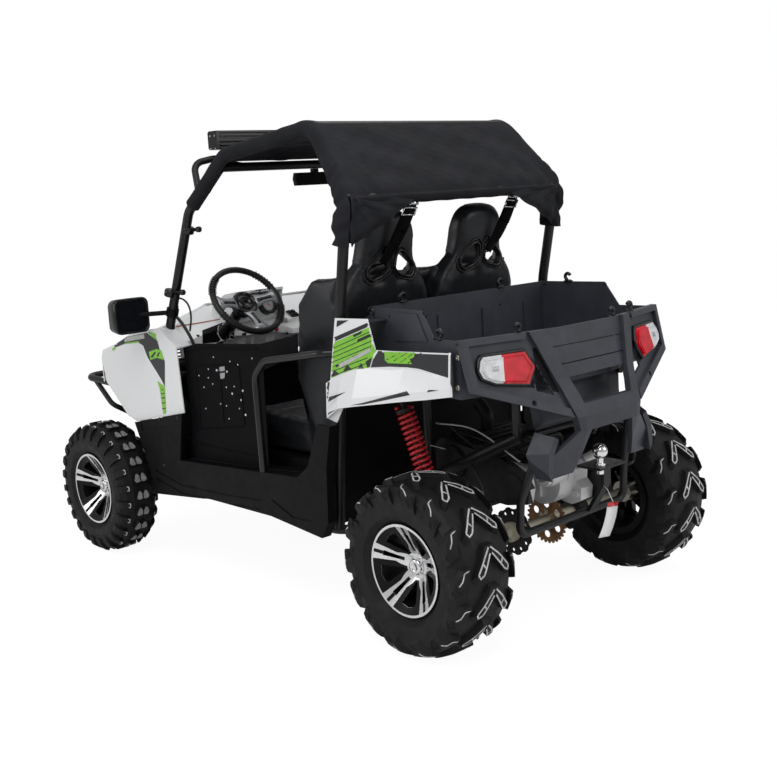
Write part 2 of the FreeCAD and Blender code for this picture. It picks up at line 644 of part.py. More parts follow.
def knuckle():
    """Upright with stub axle and the arm that the tie rod moves."""
    y = FRONT_AXLE_Y
    z = FRONT_HUB_Z
    half = BALL_JOINT_RISE - BALL_JOINT_LENGTH / 2 - SEAT_GAP
    upright = rod(V(KINGPIN_X, y, z - half), V(KINGPIN_X, y, z + half), 34)
    stub = rod(V(KINGPIN_X, y, z), V(FRONT_TRACK / 2 + FRONT_RIM_HALF_WIDTH - RIM_DISH - 22 - SEAT_GAP, y, z), 40)
    arm = [(KINGPIN_X - 14, y), (KINGPIN_X + 12, y), (KINGPIN_X - 18, RACK_Y + 12), (KINGPIN_X - 42, RACK_Y + 12)]
    lever = slab_z(arm, RACK_Z - 26, RACK_Z - 12)
    return fuse([upright, stub, lever])


def front_arms():
    """Upper and lower wishbones of one side. The lower one carries the pin of the shock's lower eye."""
    y = FRONT_AXLE_Y
    low_x = RAIL_X + RAIL_TUBE / 2 + ARM_PIVOT_TUBE / 2 + SEAT_GAP
    high_x = NOSE_TUBE_X + SIDE_RAIL_TUBE / 2 - 2 + ARM_PIVOT_TUBE / 2 + SEAT_GAP
    wishbones = []
    for pivot_x, pivot_z, joint_z, leg_drop in ((low_x, RAIL_Z - 6, FRONT_HUB_Z - BALL_JOINT_RISE, 6),
                                                (high_x, ARM_RAIL_Z, FRONT_HUB_Z + BALL_JOINT_RISE, 0)):
        joint = V(KINGPIN_X, y, joint_z)
        leg_end = joint - V(0, 0, leg_drop)
        half = V(0, 0, BALL_JOINT_LENGTH / 2)
        parts = [rod(joint - half, joint + half, ARM_PIVOT_TUBE)]
        for dy in (-ARM_SPREAD, ARM_SPREAD):
            parts.append(rod(V(pivot_x, y + dy, pivot_z), leg_end, ARM_TUBE))
            parts.append(rod(V(pivot_x, y + dy - 22, pivot_z), V(pivot_x, y + dy + 22, pivot_z), ARM_PIVOT_TUBE))
        wishbones.append(parts)
    low = vec(FRONT_SHOCK_LOW)
    reach = ARM_SPREAD * (KINGPIN_X - low.x) / (KINGPIN_X - low_x)
    wishbones[0].append(rod(low - V(0, reach, 0), low + V(0, reach, 0), SHOCK_PIN))
    return Part.makeCompound([fuse(parts) for parts in wishbones])


def front_bumper():
    """Tube bumper: top hoop, two lower loops and braces, held by the nose of the frame."""
    r = 14.0
    y = -FRONT_REACH + r
    stay_x = NOSE_TUBE_X + SIDE_RAIL_TUBE / 2 + SEAT_GAP
    side_run = [V(stay_x, -960, 700.5), V(300, -960, 700.5), V(450, -966, 655), V(450, y, 668)]
    hoop = tube(side_run + [V(-p.x, p.y, p.z) for p in reversed(side_run)], 2 * r, 70)
    parts = [hoop]
    loop_end = RAIL_FRONT_Y + 14 - SIDE_RAIL_TUBE / 2 + 2 - SEAT_GAP
    for side in (1, -1):
        brace = [V(450, -1190, 664), V(450, -1060, 565), V(400, -1030, 530), V(270, -1030, ARM_RAIL_Z),
                 V(NOSE_TUBE_X + SIDE_RAIL_TUBE / 2 - 2 + SEAT_GAP, -1030, ARM_RAIL_Z)]
        parts.append(tube([V(side * p.x, p.y, p.z) for p in brace], 22, 50))
        x = side * LOOP_X
        parts.append(tube([V(x, y, 668), V(x, y + 40, 440), V(x, loop_end - 60, RAIL_Z + 58),
                           V(x, loop_end, RAIL_Z + 58)], 24, 60))
    parts.append(rod(V(-LOOP_X, y + 22, 540), V(LOOP_X, y + 22, 540), 20))
    return fuse(parts)


def panel_plan(outward, inward):
    """Plan view of the quarter panel, as a band about its outer face."""
    line = [(524, 470), (527, 620), (522, 800), (508, 940), (497, 1026)]
    return [(x + outward, y) for x, y in line] + [(x - inward, y) for x, y in reversed(line)]


def bed_side_x(y):
    """Outer side of the cargo bed, which spreads to the rear."""
    return BED_FRONT_X + (y - BED_FRONT_Y) * (BED_X - BED_FRONT_X) / (BED_CORNER_Y - BED_FRONT_Y)


def rear_panel():
    """White quarter panel: side face, the flare over the wheel, and a flange to the bed."""
    face = [(544, 1015), (697, 1019), (725, 924), (1024, 930), (1025, 802), (841, 777), (555, 727), (520, 674),
            (474, 684)]
    skin = slab_z(panel_plan(0, PANEL), 600, 1100).common(slab_x(face, 400, 600))
    flare = []
    for y, lip, lip_z, crease_z in ((476, 529, 684, 800), (560, 552, 729, 842), (640, 558, 744, 868),
                                    (841, 551, 777, 876), (940, 532, 790, 868), (1024, 501, 802, 862)):
        root = panel_x(y)
        flare.append([V(root - 1, y, crease_z), V(lip, y, lip_z + 26), V(lip, y, lip_z), V(lip - 5, y, lip_z),
                      V(lip - 5, y, lip_z + 22), V(root - 1, y, crease_z - 8)])
    arch = loft(flare)
    flange = slab_z([(bed_side_x(610) + SEAT_GAP, 610), (bed_side_x(690) + SEAT_GAP, 690), (panel_x(690) - 1, 690),
                     (panel_x(610) - 1, 610)], 1004, 1008)
    return fuse([skin, arch, flange]).cut(side_tube(CAGE_TUBE + 2 * GROMMET))


def panel_x(y):
    """Outer face of the quarter panel at a given length."""
    line = [(524, 470), (527, 620), (522, 800), (508, 940), (497, 1026)]
    for (x0, y0), (x1, y1) in zip(line, line[1:]):
        if y <= y1:
            return x0 + (x1 - x0) * (y - y0) / (y1 - y0)
    return line[-1][0]


def bed():
    """Cargo tub with a high front part and walls that follow the tail."""
    side = [(BED_FRONT_Y, BED_FLOOR_Z), (BED_REAR_Y, BED_FLOOR_Z), (BED_REAR_Y, BED_RIM_Z), (920, BED_RIM_Z),
            (864, BED_HEAD_Z), (BED_FRONT_Y, BED_HEAD_Z)]

    def plan(wall):
        front = BED_FRONT_Y + wall
        half = [(BED_FRONT_X - wall, front), (BED_X - wall, BED_CORNER_Y - wall), (TAIL_FLAT, BED_REAR_Y - wall)]
        return half + [(-x, y) for x, y in reversed(half)]

    tub = slab_z(plan(0), BED_FLOOR_Z, BED_HEAD_Z).cut(slab_z(plan(BED_WALL), BED_FLOOR_Z + BED_WALL, BED_HEAD_Z + 10))
    shell = tub.common(slab_x(side, -BED_X - 10, BED_X + 10))
    raised = [(BED_FRONT_Y + 122, 965), (BED_FRONT_Y + 102, 1000), (BED_FRONT_Y + 122, 1032), (BED_FRONT_Y + 245, 1032),
              (BED_FRONT_Y + 290, 952), (BED_FRONT_Y + 130, 944)]
    skin = slab_z(plan(-4), BED_FLOOR_Z, BED_HEAD_Z).cut(slab_z(plan(0.5), BED_FLOOR_Z - 1, BED_HEAD_Z + 1))
    badge = skin.common(slab_x(raised, -BED_X - 10, BED_X + 10))
    wall = V(0, BED_FRONT_Y + BED_WALL, 0)
    ribs = []
    for x in (-330, -110, 110, 330):
        ribs.append(box(x - 22, x + 22, wall.y - 1, wall.y + 6, BED_FLOOR_Z + BED_WALL, 982))
    for y in range(680, 1000, 64):
        ribs.append(box(-360, 360, y, y + 26, BED_FLOOR_Z + BED_WALL - 1, BED_FLOOR_Z + BED_WALL + 3))
    return fuse([shell, badge] + ribs)


def fascia_section(x, recess, thickness):
    """Side-view section of the tail fascia at a distance x from the middle."""
    bow = TAIL_SWEEP * max(0.0, abs(x) - TAIL_FLAT)
    line = [(TAIL_TOP_Y, TAIL_TOP_Z), (TAIL_TOP_Y + TAIL_LEAN * (TAIL_TOP_Z - 817), 817), (REAR_REACH, 700),
            (REAR_REACH, 655), (TAIL_FOOT_Y, 505)]
    outer = [V(x, y - bow - recess, z) for y, z in line]
    inner = [V(x, y - bow - recess - thickness, z) for y, z in reversed(line)]
    return outer + inner


def tail_slab(outline):
    """An outline seen from behind, made deep enough to cut or keep any part of the tail."""
    return slab_y(outline, REAR_REACH - 320, REAR_REACH + 80)


def skirt(front, back, depth):
    """A tapering moulding behind an outline of the tail, from its front outline to its back outline."""
    y = REAR_REACH - TAIL_STEP - TAIL_SWEEP * (front[0][0] - TAIL_FLAT)
    sections = [[V(x, y, z) for x, z in front], [V(x, y - depth, z) for x, z in back]]
    return loft(sections)


def fascia():
    """Moulded tail with raised arms, lamp wings, grooves, window, arch and two hooked legs."""
    stations = (-TAIL_X, -TAIL_FLAT, TAIL_FLAT, TAIL_X)
    plate = loft([fascia_section(x, TAIL_STEP, TAIL_SKIN - TAIL_STEP) for x in stations])
    raised = loft([fascia_section(x, 0, TAIL_STEP + 2) for x in stations])
    wing = [(488, 966), (482, 814), (160, 698), (154, 655), (-154, 655), (-160, 698), (-482, 814), (-488, 966)]
    skin = plate.common(tail_slab(wing))
    parts = []
    cuts = []
    for s in (1, -1):
        arm = [(s * 252, 966), (s * 186, 790), (s * 150, 660), (s * 240, 590), (s * 262, 512), (s * 150, 524),
               (s * 103, 655), (s * 95, 722), (s * 118, 735), (s * 148, 822), (s * 200, 966)]
        parts.append(raised.common(tail_slab(arm)))
        ledge = [(s * 488, 966), (s * 482, 814), (s * 170, 702), (s * 176, 730), (s * 462, 832), (s * 466, 948),
                 (s * 268, 948), (s * 262, 966)]
        parts.append(raised.common(tail_slab(ledge)))
        cuts.append(tail_slab([(s * 252, 893), (s * 205, 772), (s * 262, 792)]))
        hole = V(s * 294, REAR_REACH - 200, 762)
        cuts.append(rod(hole, hole + V(0, 250, 0), 17))
        flange = skirt([(235, 650), (262, 604), (268, 540), (252, 516), (238, 596), (215, 640)],
                       [(262, 664), (306, 604), (300, 588), (262, 520), (250, 600), (240, 652)], 54)
        parts.append(flange if s == 1 else mirror(flange))
    band = raised.common(tail_slab([(104, 655), (120, 737), (-120, 737), (-104, 655)]))
    window = tail_slab([(145, 817), (118, 737), (-118, 737), (-145, 817)])
    shell = fuse([skin, band] + parts)
    for z in (913, 858):
        half = 0.36 * z - 150
        groove = slab_y([(half, z + 2), (half, z - 2), (-half, z - 2), (-half, z + 2)], TAIL_TOP_Y, TAIL_TOP_Y + 60)
        cuts.append(groove.common(loft([fascia_section(x, TAIL_STEP - 1, 5) for x in stations])))
    return shell.cut(window).cut(Part.makeCompound(cuts))


def tail_light():
    """Lamp lens that stands out of its wing, wider towards the middle of the tail."""
    face = [(446, 874), (436, 900), (424, 912), (282, 912), (258, 864), (290, 818), (400, 834), (438, 852)]
    block = tail_slab(face)
    lens = block.common(loft([fascia_section(x, -5, 5 + TAIL_STEP - SEAT_GAP) for x in (TAIL_FLAT, TAIL_X)]))
    rim_cut = tail_slab([(x * 0.93 + 25, z * 0.85 + 130) for x, z in face])
    deep = loft([fascia_section(x, -6, 7) for x in (TAIL_FLAT, TAIL_X)])
    return lens.cut(deep.cut(rim_cut))


def seat_outline(scale):
    """Outline of the seat's back seen from behind, drawn in towards its middle by a scale."""
    half = [(203, 60), (205, 300), (206, 470), (196, 545), (160, 600), (130, 640), (118, 700), (108, 760),
            (80, 798), (30, 812)]
    ring = [(x, z) for x, z in half] + [(-x, z) for x, z in reversed(half)]
    points = [V(x * scale, 0, 380 + (z - 380) * scale) for x, z in ring]
    curve = Part.BSplineCurve()
    curve.interpolate(points)
    foot = [points[-1], V(-200 * scale, 0, 380 - 420 * scale), V(200 * scale, 0, 380 - 420 * scale), points[0]]
    return Part.Wire([curve.toShape()] + [Part.LineSegment(a, b).toShape() for a, b in zip(foot, foot[1:])])


def seat():
    """Bucket seat: cushion with raised sides, shell back with rounded edge, bolsters and two harness slots."""
    sections = []
    for depth, scale in ((0, 0.93), (14, 1.0), (52, 1.0), (72, 0.95)):
        wire = seat_outline(scale)
        wire.translate(V(0, depth, 0))
        sections.append(wire)
    back = Part.makeLoft(sections, True, True)
    for s in (1, -1):
        plan = [(s * 203, 24), (s * 206, -60), (s * 196, -96), (s * 178, -100), (s * 158, -60), (s * 146, 24)]
        side = slab_z(plan, -20, 600).common(slab_x([(-110, -20), (-110, 430), (-60, 560), (30, 600), (30, -20)], -210, 210))
        back = back.fuse(side)
        slot = [(s * 22, 560), (s * 28, 640), (s * 62, 650), (s * 92, 606), (s * 80, 560)]
        back = back.cut(slab_y(slot, -10, 90))
    back.rotate(V(0, 0, 0), V(1, 0, 0), -SEAT_RECLINE)
    back.translate(V(0, 320, SEAT_TOP_Z - 812 * math.cos(math.radians(SEAT_RECLINE))))
    low = SEAT_BOX_TOP_Z + SEAT_GAP
    base = slab_x([(-120, 520), (-140, 572), (-134, 618), (-104, 642), (-40, 640), (200, 610), (330, 600), (350, 520),
                   (345, low), (-60, low)], -200, 200)
    base = base.cut(slab_x([(-112, 690), (-96, 634), (-60, 622), (200, 590), (310, 590), (310, 690)], -145, 145))
    shape = fuse([base, back])
    shape.translate(V(SEAT_X, 0, 0))
    return shape


def strap(top, low, wide, thick):
    """A flat belt between two points, level across its width."""
    half = V(wide / 2, 0, 0)
    flat = Part.Face(Part.makePolygon([top - half, top + half, low + half, low - half, top - half]))
    return flat.extrude(V(1, 0, 0).cross(low - top).normalize() * thick)


def belts():
    """Shoulder belts from the rear cross bar to the seats' slots."""
    parts = []
    for x_top, x_low in ((213, 258), (-297, -250)):
        bar = V(x_top, ROOF_CORNER[1], ROOF_CORNER[2])
        low = V(x_low, 506, 1192)
        way = V(0, low.y - bar.y, low.z - bar.z).normalize()
        parts.append(strap(bar + way * (CROSS_TUBE / 2 + SLEEVE + SEAT_GAP), low, 46, 2.5))
    return Part.makeCompound(parts)


def gusset(corners, thick):
    """A flat triangle of cloth between a bar and a tube."""
    normal = (corners[1] - corners[0]).cross(corners[2] - corners[0]).normalize()
    face = Part.Face(Part.makePolygon([point - normal * (thick / 2) for point in corners + corners[:1]]))
    return face.extrude(normal * thick)


def canopy():
    """Fabric roof: a panel over the cage, sewn to sleeves round its side tubes and its rear bar."""
    outer = CAGE_TUBE + 2 * SLEEVE
    lift = CAGE_TUBE / 2
    top = []
    for point, y, z in ((ROOF_BAR, ROOF_BAR.y, ROOF_BAR.z), (vec(ROOF_FRONT), ROOF_FRONT[1] + 8, ROOF_FRONT[2]),
                        (vec(ROOF_PEAK), ROOF_PEAK[1] - 30, ROOF_PEAK[2]),
                        (vec(ROOF_PEAK), ROOF_PEAK[1] + 30, ROOF_PEAK[2] - 22),
                        (vec(ROOF_CORNER), ROOF_CORNER[1], ROOF_CORNER[2])):
        w = point.x + 4
        low = z + lift
        top.append([V(-w, y, low), V(w, y, low), V(w - 6, y, low + ROOF_CLOTH), V(-w + 6, y, low + ROOF_CLOTH)])
    parts = [loft(top)]
    corner = vec(ROOF_CORNER)
    parts.append(rod(V(-corner.x, corner.y, corner.z), corner, CROSS_TUBE + 2 * SLEEVE))
    high = between(PILLAR_TOP, ROOF_FRONT, SLEEVE_FRONT_Z)
    low = between(POST_KNEE, ROOF_CORNER, SLEEVE_REAR_Z)
    for s in (1, -1):
        route = [high, vec(ROOF_FRONT), vec(ROOF_PEAK), corner, low]
        parts.append(tube([V(s * p.x, p.y, p.z) for p in route], outer))
        rear = [V(s * low.x, low.y, low.z + 14), V(s * corner.x, corner.y, corner.z), V(s * 250, corner.y, corner.z)]
        front_at = between(PILLAR_TOP, ROOF_FRONT, 1430)
        front = [V(s * front_at.x, front_at.y, front_at.z), V(s * ROOF_BAR.x, ROOF_BAR.y, ROOF_BAR.z),
                 V(s * 350, ROOF_BAR.y, ROOF_BAR.z)]
        parts.append(gusset(rear, ROOF_CLOTH))
        parts.append(gusset(front, ROOF_CLOTH))
    cover = fuse(parts)
    tubes = cage_bars(CROSS_TUBE + 0.8)
    for s in (1, -1):
        tubes += [side_tube(CAGE_TUBE + 0.8, s), hoop_tube(HOOP_TUBE + 0.8, s)]
    for bar in tubes:
        cover = cover.cut(bar)
    return Part.makeCompound([max(cover.Solids, key=lambda solid: solid.Volume)])


def light_bar():
    """Lamp bar with cooling fins behind, end plates and two feet on the hoop."""
    half = LIGHT_BAR_LENGTH / 2
    front = LIGHT_BAR_Y - LIGHT_BAR_DEPTH / 2
    rear = LIGHT_BAR_Y + LIGHT_BAR_DEPTH / 2
    low = LIGHT_BAR_Z - LIGHT_BAR_HEIGHT / 2
    high = LIGHT_BAR_Z + LIGHT_BAR_HEIGHT / 2
    body = slab_x([(front, low + 6), (front + 8, low), (rear, low), (rear, high), (front + 8, high), (front, high - 6)],
                  -half, half)
    gap = LIGHT_BAR_HEIGHT / 9
    grooves = []
    for k in range(4):
        z = low + gap * (2 * k + 1)
        grooves.append(box(-half + 10, half - 10, rear - 16, rear + 1, z, z + gap))
    glass = box(-half + 16, half - 16, front - 1, front + 4, low + 10, high - 10)
    foot_z = HOOP_Z + HOOP_TUBE / 2 + SEAT_GAP
    feet = box(250, 290, LIGHT_BAR_Y - 15, LIGHT_BAR_Y + 15, foot_z, low)
    return fuse([body.cut(Part.makeCompound(grooves)).cut(glass), feet, mirror(feet)])


def clamp(at, low, high, height, wall):
    """A ring round a cage tube, before the tube's clearance is cut out of it."""
    way = (vec(high) - vec(low)).normalize()
    return rod(at - way * (height / 2), at + way * (height / 2), CAGE_TUBE + 2 * wall)


def mirror_ring(half_x, half_z, y):
    """Eight-sided section of the side mirror's housing."""
    corners = [(1, 0.6), (0.6, 1), (-0.6, 1), (-1, 0.6), (-1, -0.6), (-0.6, -1), (0.6, -1), (1, -0.6)]
    return [V(636 + a * half_x, y, 990 + b * half_z) for a, b in corners]


def mirrors():
    """Cab mirror under the front cross bar, and one mirror on each front pillar."""
    bar = ROOF_BAR
    x = CAB_MIRROR_X
    glass = loft([[V(x - a, y, 1462 - b), V(x + a, y, 1462 - b), V(x + a + 6, y, 1462), V(x + a, y, 1462 + b),
                   V(x - a, y, 1462 + b), V(x - a - 6, y, 1462)] for a, b, y in
                  ((70, 14, bar.y - 30), (88, 24, bar.y - 18), (88, 24, bar.y + 2))])
    stem = box(x - 12, x + 12, bar.y - 10, bar.y + 10, 1480, bar.z - CROSS_TUBE / 2 - SEAT_GAP)
    cab = fuse([glass, stem])
    head = loft([mirror_ring(a, b, y) for a, b, y in ((46, 44, -584), (66, 60, -560), (70, 65, -520), (70, 65, -505))])
    head = head.cut(loft([mirror_ring(63, 58, y) for y in (-508, -500)]))
    pillar = between(PILLAR_BASE, PILLAR_TOP, 990)
    out = V(1, -0.6, 0).normalize()
    arm = rod(pillar + out * (CAGE_TUBE / 2 + 4), pillar + out * 124, 18)
    side = fuse([head, arm, clamp(pillar, PILLAR_BASE, PILLAR_TOP, 30, 6)]).cut(side_tube(CAGE_TUBE + 2 * SEAT_GAP))
    return Part.makeCompound([cab, side, mirror(side)])


def hip_bar():
    """Door bar beside the seat, from the rear post forward and down to the threshold."""
    post = between(POST_FOOT, POST_KNEE, 898)
    start = post + V(0.45, -0.89, 0) * (CAGE_TUBE / 2 - 2)
    foot = V(553, 139, ledge_z(152) + SEAT_GAP)
    bar = tube([start, V(539, post.y - 54, 898), V(553, 191, 856), V(553, 132, 800), foot], 26, 55)
    ring = clamp(post, POST_FOOT, POST_KNEE, 28, 3)
    return bar.fuse(ring).cut(side_tube(CAGE_TUBE + 2 * SEAT_GAP))


def side_net():
    """Soft door panel between the front pillar and the door bar, standing on the threshold."""
    outline = [(-350, 628), (-366, 862), (-273, 883), (120, 905), (330, 950), (330, 880), (130, 815),
               (120, ledge_z(120) + SEAT_GAP), (-372, ledge_z(-372) + SEAT_GAP)]
    return slab_x(outline, 512, 515)


def fin(centre, way, across, wide, high, thick):
    """One square cooling fin with clipped corners, centred on the barrel."""
    up = way.cross(across)
    clip = 0.3
    corners = [(1, clip), (clip, 1), (-clip, 1), (-1, clip), (-1, -clip), (-clip, -1), (clip, -1), (1, -clip)]
    points = [centre + across * (wide * a) + up * (high * b) for a, b in corners]
    return Part.Face(Part.makePolygon(points + points[:1])).extrude(way * thick)


def engine():
    """Open engine: ribbed crankcase, finned barrel, belt case, gear case, starter motor and mounting ears."""
    right = ENGINE_RIGHT_X
    left = ENGINE_LEFT_X
    side = [(ENGINE_FRONT_Y, 400), (ENGINE_FRONT_Y + 20, 380), (840, 380), (860, 410), (860, 520), (820, 560),
            (ENGINE_FRONT_Y + 40, 560), (ENGINE_FRONT_Y, 530)]
    parts = [slab_x(side, right, left)]
    for k in range(5):
        y = ENGINE_FRONT_Y + 40 + 44 * k
        parts.append(box(right + 10, left - 10, y, y + 8, 556, 566))
    way = V(0, -1, 0.12).normalize()
    barrel = V((left + right) / 2, ENGINE_FRONT_Y + 10, 480)
    parts.append(rod(barrel, barrel + way * 96, 104))
    for k in range(FINS):
        parts.append(fin(barrel + way * (14 + 11 * k), way, V(1, 0, 0), 62, 62, 3.5))
    belt = [(GEAR_Y + 40, GEAR_Z), (GEAR_Y + 28, GEAR_Z + 55), (GEAR_Y - 60, GEAR_Z + 78), (640, 573), (610, 550),
            (610, 430), (650, 400), (GEAR_Y - 60, GEAR_Z - 66), (GEAR_Y + 28, GEAR_Z - 50)]
    parts.append(slab_x(belt, left - 2, left + 24))
    parts.append(rod(V(left, 690, 494), V(left + 36, 690, 494), 120))
    parts.append(rod(V(left, GEAR_Y - 30, GEAR_Z), V(left + 32, GEAR_Y - 30, GEAR_Z), 84))
    parts.append(box(-60, 80, 850, GEAR_Y, 400, 500))
    parts.append(rod(V(-66, GEAR_Y, GEAR_Z), V(70, GEAR_Y, GEAR_Z), 150))
    cover = [(GEAR_Y + 20, 372), (GEAR_Y + 62, 366), (GEAR_Y + 96, 384), (GEAR_Y + 100, 424), (GEAR_Y + 78, 446),
             (GEAR_Y + 82, 486), (GEAR_Y + 54, 506), (GEAR_Y, 500)]
    parts.append(slab_x(cover, -66, -6))
    for y, z in ((GEAR_Y + 78, 404), (GEAR_Y + 62, 470), (GEAR_Y + 30, 388), (GEAR_Y + 24, 490)):
        parts.append(rod(V(-74, y, z), V(2, y, z), 22))
    starter = V(-6, GEAR_Y + 48, 476)
    parts.append(rod(starter, starter + V(110, 0, 0), 62))
    parts.append(rod(starter + V(104, 0, 0), starter + V(126, 0, 0), 54))
    parts.append(rod(starter + V(30, 0, 0), starter + V(38, 0, 0), 68))
    parts.append(rod(starter + V(62, 0, -24), starter + V(62, 10, -46), 14))
    intake = [V(-60, ENGINE_FRONT_Y + 48, 540), V(-60, ENGINE_FRONT_Y + 48, 612), V(-60, ENGINE_FRONT_Y + 8, 650)]
    parts.append(tube(intake, 44, 40))
    bar_rear = ENGINE_BAR_Y + SIDE_RAIL_TUBE / 2 - 2 + SEAT_GAP
    for x in (right + 40, left - 60):
        parts.append(box(x, x + 14, bar_rear, ENGINE_FRONT_Y + 30, ENGINE_BAR_Z - 12, 420))
    return fuse(parts)


def exhaust():
    """Silencer across the tail, with end caps, an outlet and a strap to the rear cross bar."""
    x0 = 70 - RAIL_X
    can = rod(V(x0, EXHAUST_Y, 660), V(60, EXHAUST_Y, 660), 86)
    parts = [can]
    for x in (x0, -80, 48):
        parts.append(rod(V(x, EXHAUST_Y, 660), V(x + 12, EXHAUST_Y, 660), 90))
    parts.append(rod(V(x0 - 22, EXHAUST_Y + 14, 660), V(x0 + 4, EXHAUST_Y + 14, 660), 28))
    strap_end = REAR_UPRIGHT_Y - SIDE_RAIL_TUBE / 2 + 2 - SEAT_GAP
    parts.append(box(-80, -60, EXHAUST_Y + 25, strap_end, 626, 646))
    return fuse(parts)


def rear_guard():
    """Tube loop on the rear cross bar, with the tow ball on its folded bracket."""
    r = 13.0
    start_y = REAR_UPRIGHT_Y + SIDE_RAIL_TUBE / 2 - 2 + SEAT_GAP
    loop_y = REAR_REACH - 164
    side_run = [V(RAIL_X - 30, start_y, 635), V(RAIL_X - 30, start_y + 60, 635), V(RAIL_X + 16, loop_y + 8, 440),
                V(RAIL_X + 18, loop_y, 330)]
    loop = tube(side_run + [V(-p.x, p.y, p.z) for p in reversed(side_run)], 2 * r, 34)
    ball_y = TOW_BALL[1]
    plate_z = TOW_BALL[2] - 47
    plate = box(-98, 34, ball_y - 66, ball_y + 26, plate_z - 8, plate_z)
    bracket = [(loop_y - 6, 322), (loop_y + 8, 322), (ball_y - 34, 430), (ball_y - 34, plate_z - 4),
               (ball_y - 46, plate_z - 4), (ball_y - 46, 436)]
    post = slab_x(bracket, -98, -62)
    stem = rod(V(0, ball_y, plate_z - 26), V(0, ball_y, TOW_BALL[2] - 14), 22)
    collar = rod(V(0, ball_y, plate_z - 1), V(0, ball_y, plate_z + 9), 36)
    ball = Part.makeSphere(TOW_BALL_DIAMETER / 2, vec(TOW_BALL))
    return fuse([loop, post, plate, stem, collar, ball])


def swing_arm():
    """Trailing arms with axle carrier tube and the pins of the rear shocks."""
    parts = []
    inner = RAIL_X - RAIL_TUBE / 2 - SEAT_GAP
    arm_x = RAIL_X - 40
    for side in (1, -1):
        parts.append(rod(V(side * arm_x, 520, 345), V(side * arm_x, REAR_AXLE_Y, REAR_HUB_Z), 36))
        parts.append(rod(V(side * arm_x - 22, REAR_AXLE_Y, REAR_HUB_Z), V(side * arm_x + 22, REAR_AXLE_Y, REAR_HUB_Z), 80))
        low = vec(REAR_SHOCK_LOW, side)
        reach = side * (SHOCK_EYE_WIDTH / 2 + SEAT_GAP)
        post_x = low.x - reach - side * 10
        parts.append(rod(V(side * arm_x, 770, 315), V(post_x, low.y, 350), 26))
        parts.append(rod(V(post_x, low.y, 345), V(post_x, low.y, low.z + 8), 20))
        parts.append(rod(V(post_x, low.y, low.z), V(low.x + reach * 1.2, low.y, low.z), SHOCK_PIN))
    parts.append(rod(V(-inner, 520, 345), V(inner, 520, 345), 36))
    parts.append(rod(V(-arm_x, 700, 320), V(arm_x, 700, 320), 30))
    arm = fuse(parts)
    return arm.cut(rod(V(-300, REAR_AXLE_Y, REAR_HUB_Z), V(300, REAR_AXLE_Y, REAR_HUB_Z), 32))


def toothed_disc(x, thick, radius, teeth, tooth, holes, hole_ring, hole_size):
    """Disc on the axle with trapezoid teeth on its edge and a ring of holes."""
    y = REAR_AXLE_Y
    z = REAR_HUB_Z
    step = 360 / teeth
    outline = []
    for k in range(teeth):
        for share, reach in ((0.12, 0), (0.36, tooth), (0.64, tooth), (0.88, 0)):
            outline.append(polar(x, y, z, radius - tooth + reach, step * (k + share)))
    disc = Part.Face(Part.makePolygon(outline + outline[:1])).extrude(V(thick, 0, 0))
    cuts = []
    for k in range(holes):
        at = polar(x - 1, y, z, hole_ring, 360 / holes * k)
        cuts.append(rod(at, at + V(thick + 2, 0, 0), hole_size))
    return disc.cut(Part.makeCompound(cuts))


def rear_axle():
    """Live axle with toothed sprocket, vented brake disc, their carriers and the wheel hubs."""
    y = REAR_AXLE_Y
    z = REAR_HUB_Z
    end = REAR_TRACK / 2 + REAR_RIM_HALF_WIDTH - RIM_DISH - 22 - SEAT_GAP
    parts = [rod(V(-end, y, z), V(end, y, z), 31)]
    for side in (1, -1):
        parts.append(rod(V(side * (end - 60), y, z), V(side * end, y, z), 76))
    parts.append(toothed_disc(-56, 6, SPROCKET_RADIUS, SPROCKET_TEETH, 8, 6, 52, 26))
    parts.append(rod(V(-78, y, z), V(-50, y, z), 66))
    parts.append(toothed_disc(118, 4, DISC_RADIUS, 12, 5, 12, 62, 11))
    parts.append(rod(V(112, y, z), V(140, y, z), 66))
    return fuse(parts)


def shock_eye(at, across):
    """Round eye and the bore for its pin."""
    half = across * (SHOCK_EYE_WIDTH / 2)
    eye = rod(at - half, at + half, SHOCK_EYE)
    bore = rod(at - half * 1.2, at + half * 1.2, SHOCK_PIN + PIN_CLEARANCE)
    return eye, bore


def damper(top, low, across):
    """Telescopic damper with an eye at each end and the collars that hold its spring."""
    way = (top - low).normalize()
    length = (top - low).Length
    top_eye, top_bore = shock_eye(top, across)
    low_eye, low_bore = shock_eye(low, across)
    body = fuse([rod(low + way * 8, low + way * length * 0.5, 34), rod(low + way * 8, top - way * 8, 16),
                 rod(low + way * length * 0.20, low + way * length * 0.23, SPRING_COLLAR),
                 rod(low + way * length * 0.85, low + way * length * 0.88, SPRING_COLLAR), top_eye, low_eye])
    return body.cut(top_bore).cut(low_bore)


def spring(top, low, across, pitch):
    """Coil spring between the damper's collars."""
    way = (top - low).normalize()
    length = (top - low).Length
    lift = SPRING_WIRE / 2 + SEAT_GAP
    start = low + way * (length * 0.23 + lift)
    height = length * 0.62 - 2 * lift
    radius = (SPRING_OUTER - SPRING_WIRE) / 2
    helix = Part.makeHelix(pitch, height, radius)
    ring = Part.Wire([Part.makeCircle(SPRING_WIRE / 2, V(radius, 0, 0), V(0, radius, pitch / (2 * math.pi)))])
    coil = Part.Wire(helix.Edges).makePipeShell([ring], True, True)
    coil.Placement = FreeCAD.Placement(start, FreeCAD.Rotation(V(0, 0, 1), way))
    return coil


REAR_SHOCK = (vec(REAR_SHOCK_TOP), vec(REAR_SHOCK_LOW), V(1, 0, 0))
FRONT_SHOCK = (vec(FRONT_SHOCK_TOP), vec(FRONT_SHOCK_LOW), V(0, 1, 0))


def seat_parts():
    left = seat()
    save("seat_left", left)
    save("seat_right", mirror(left))


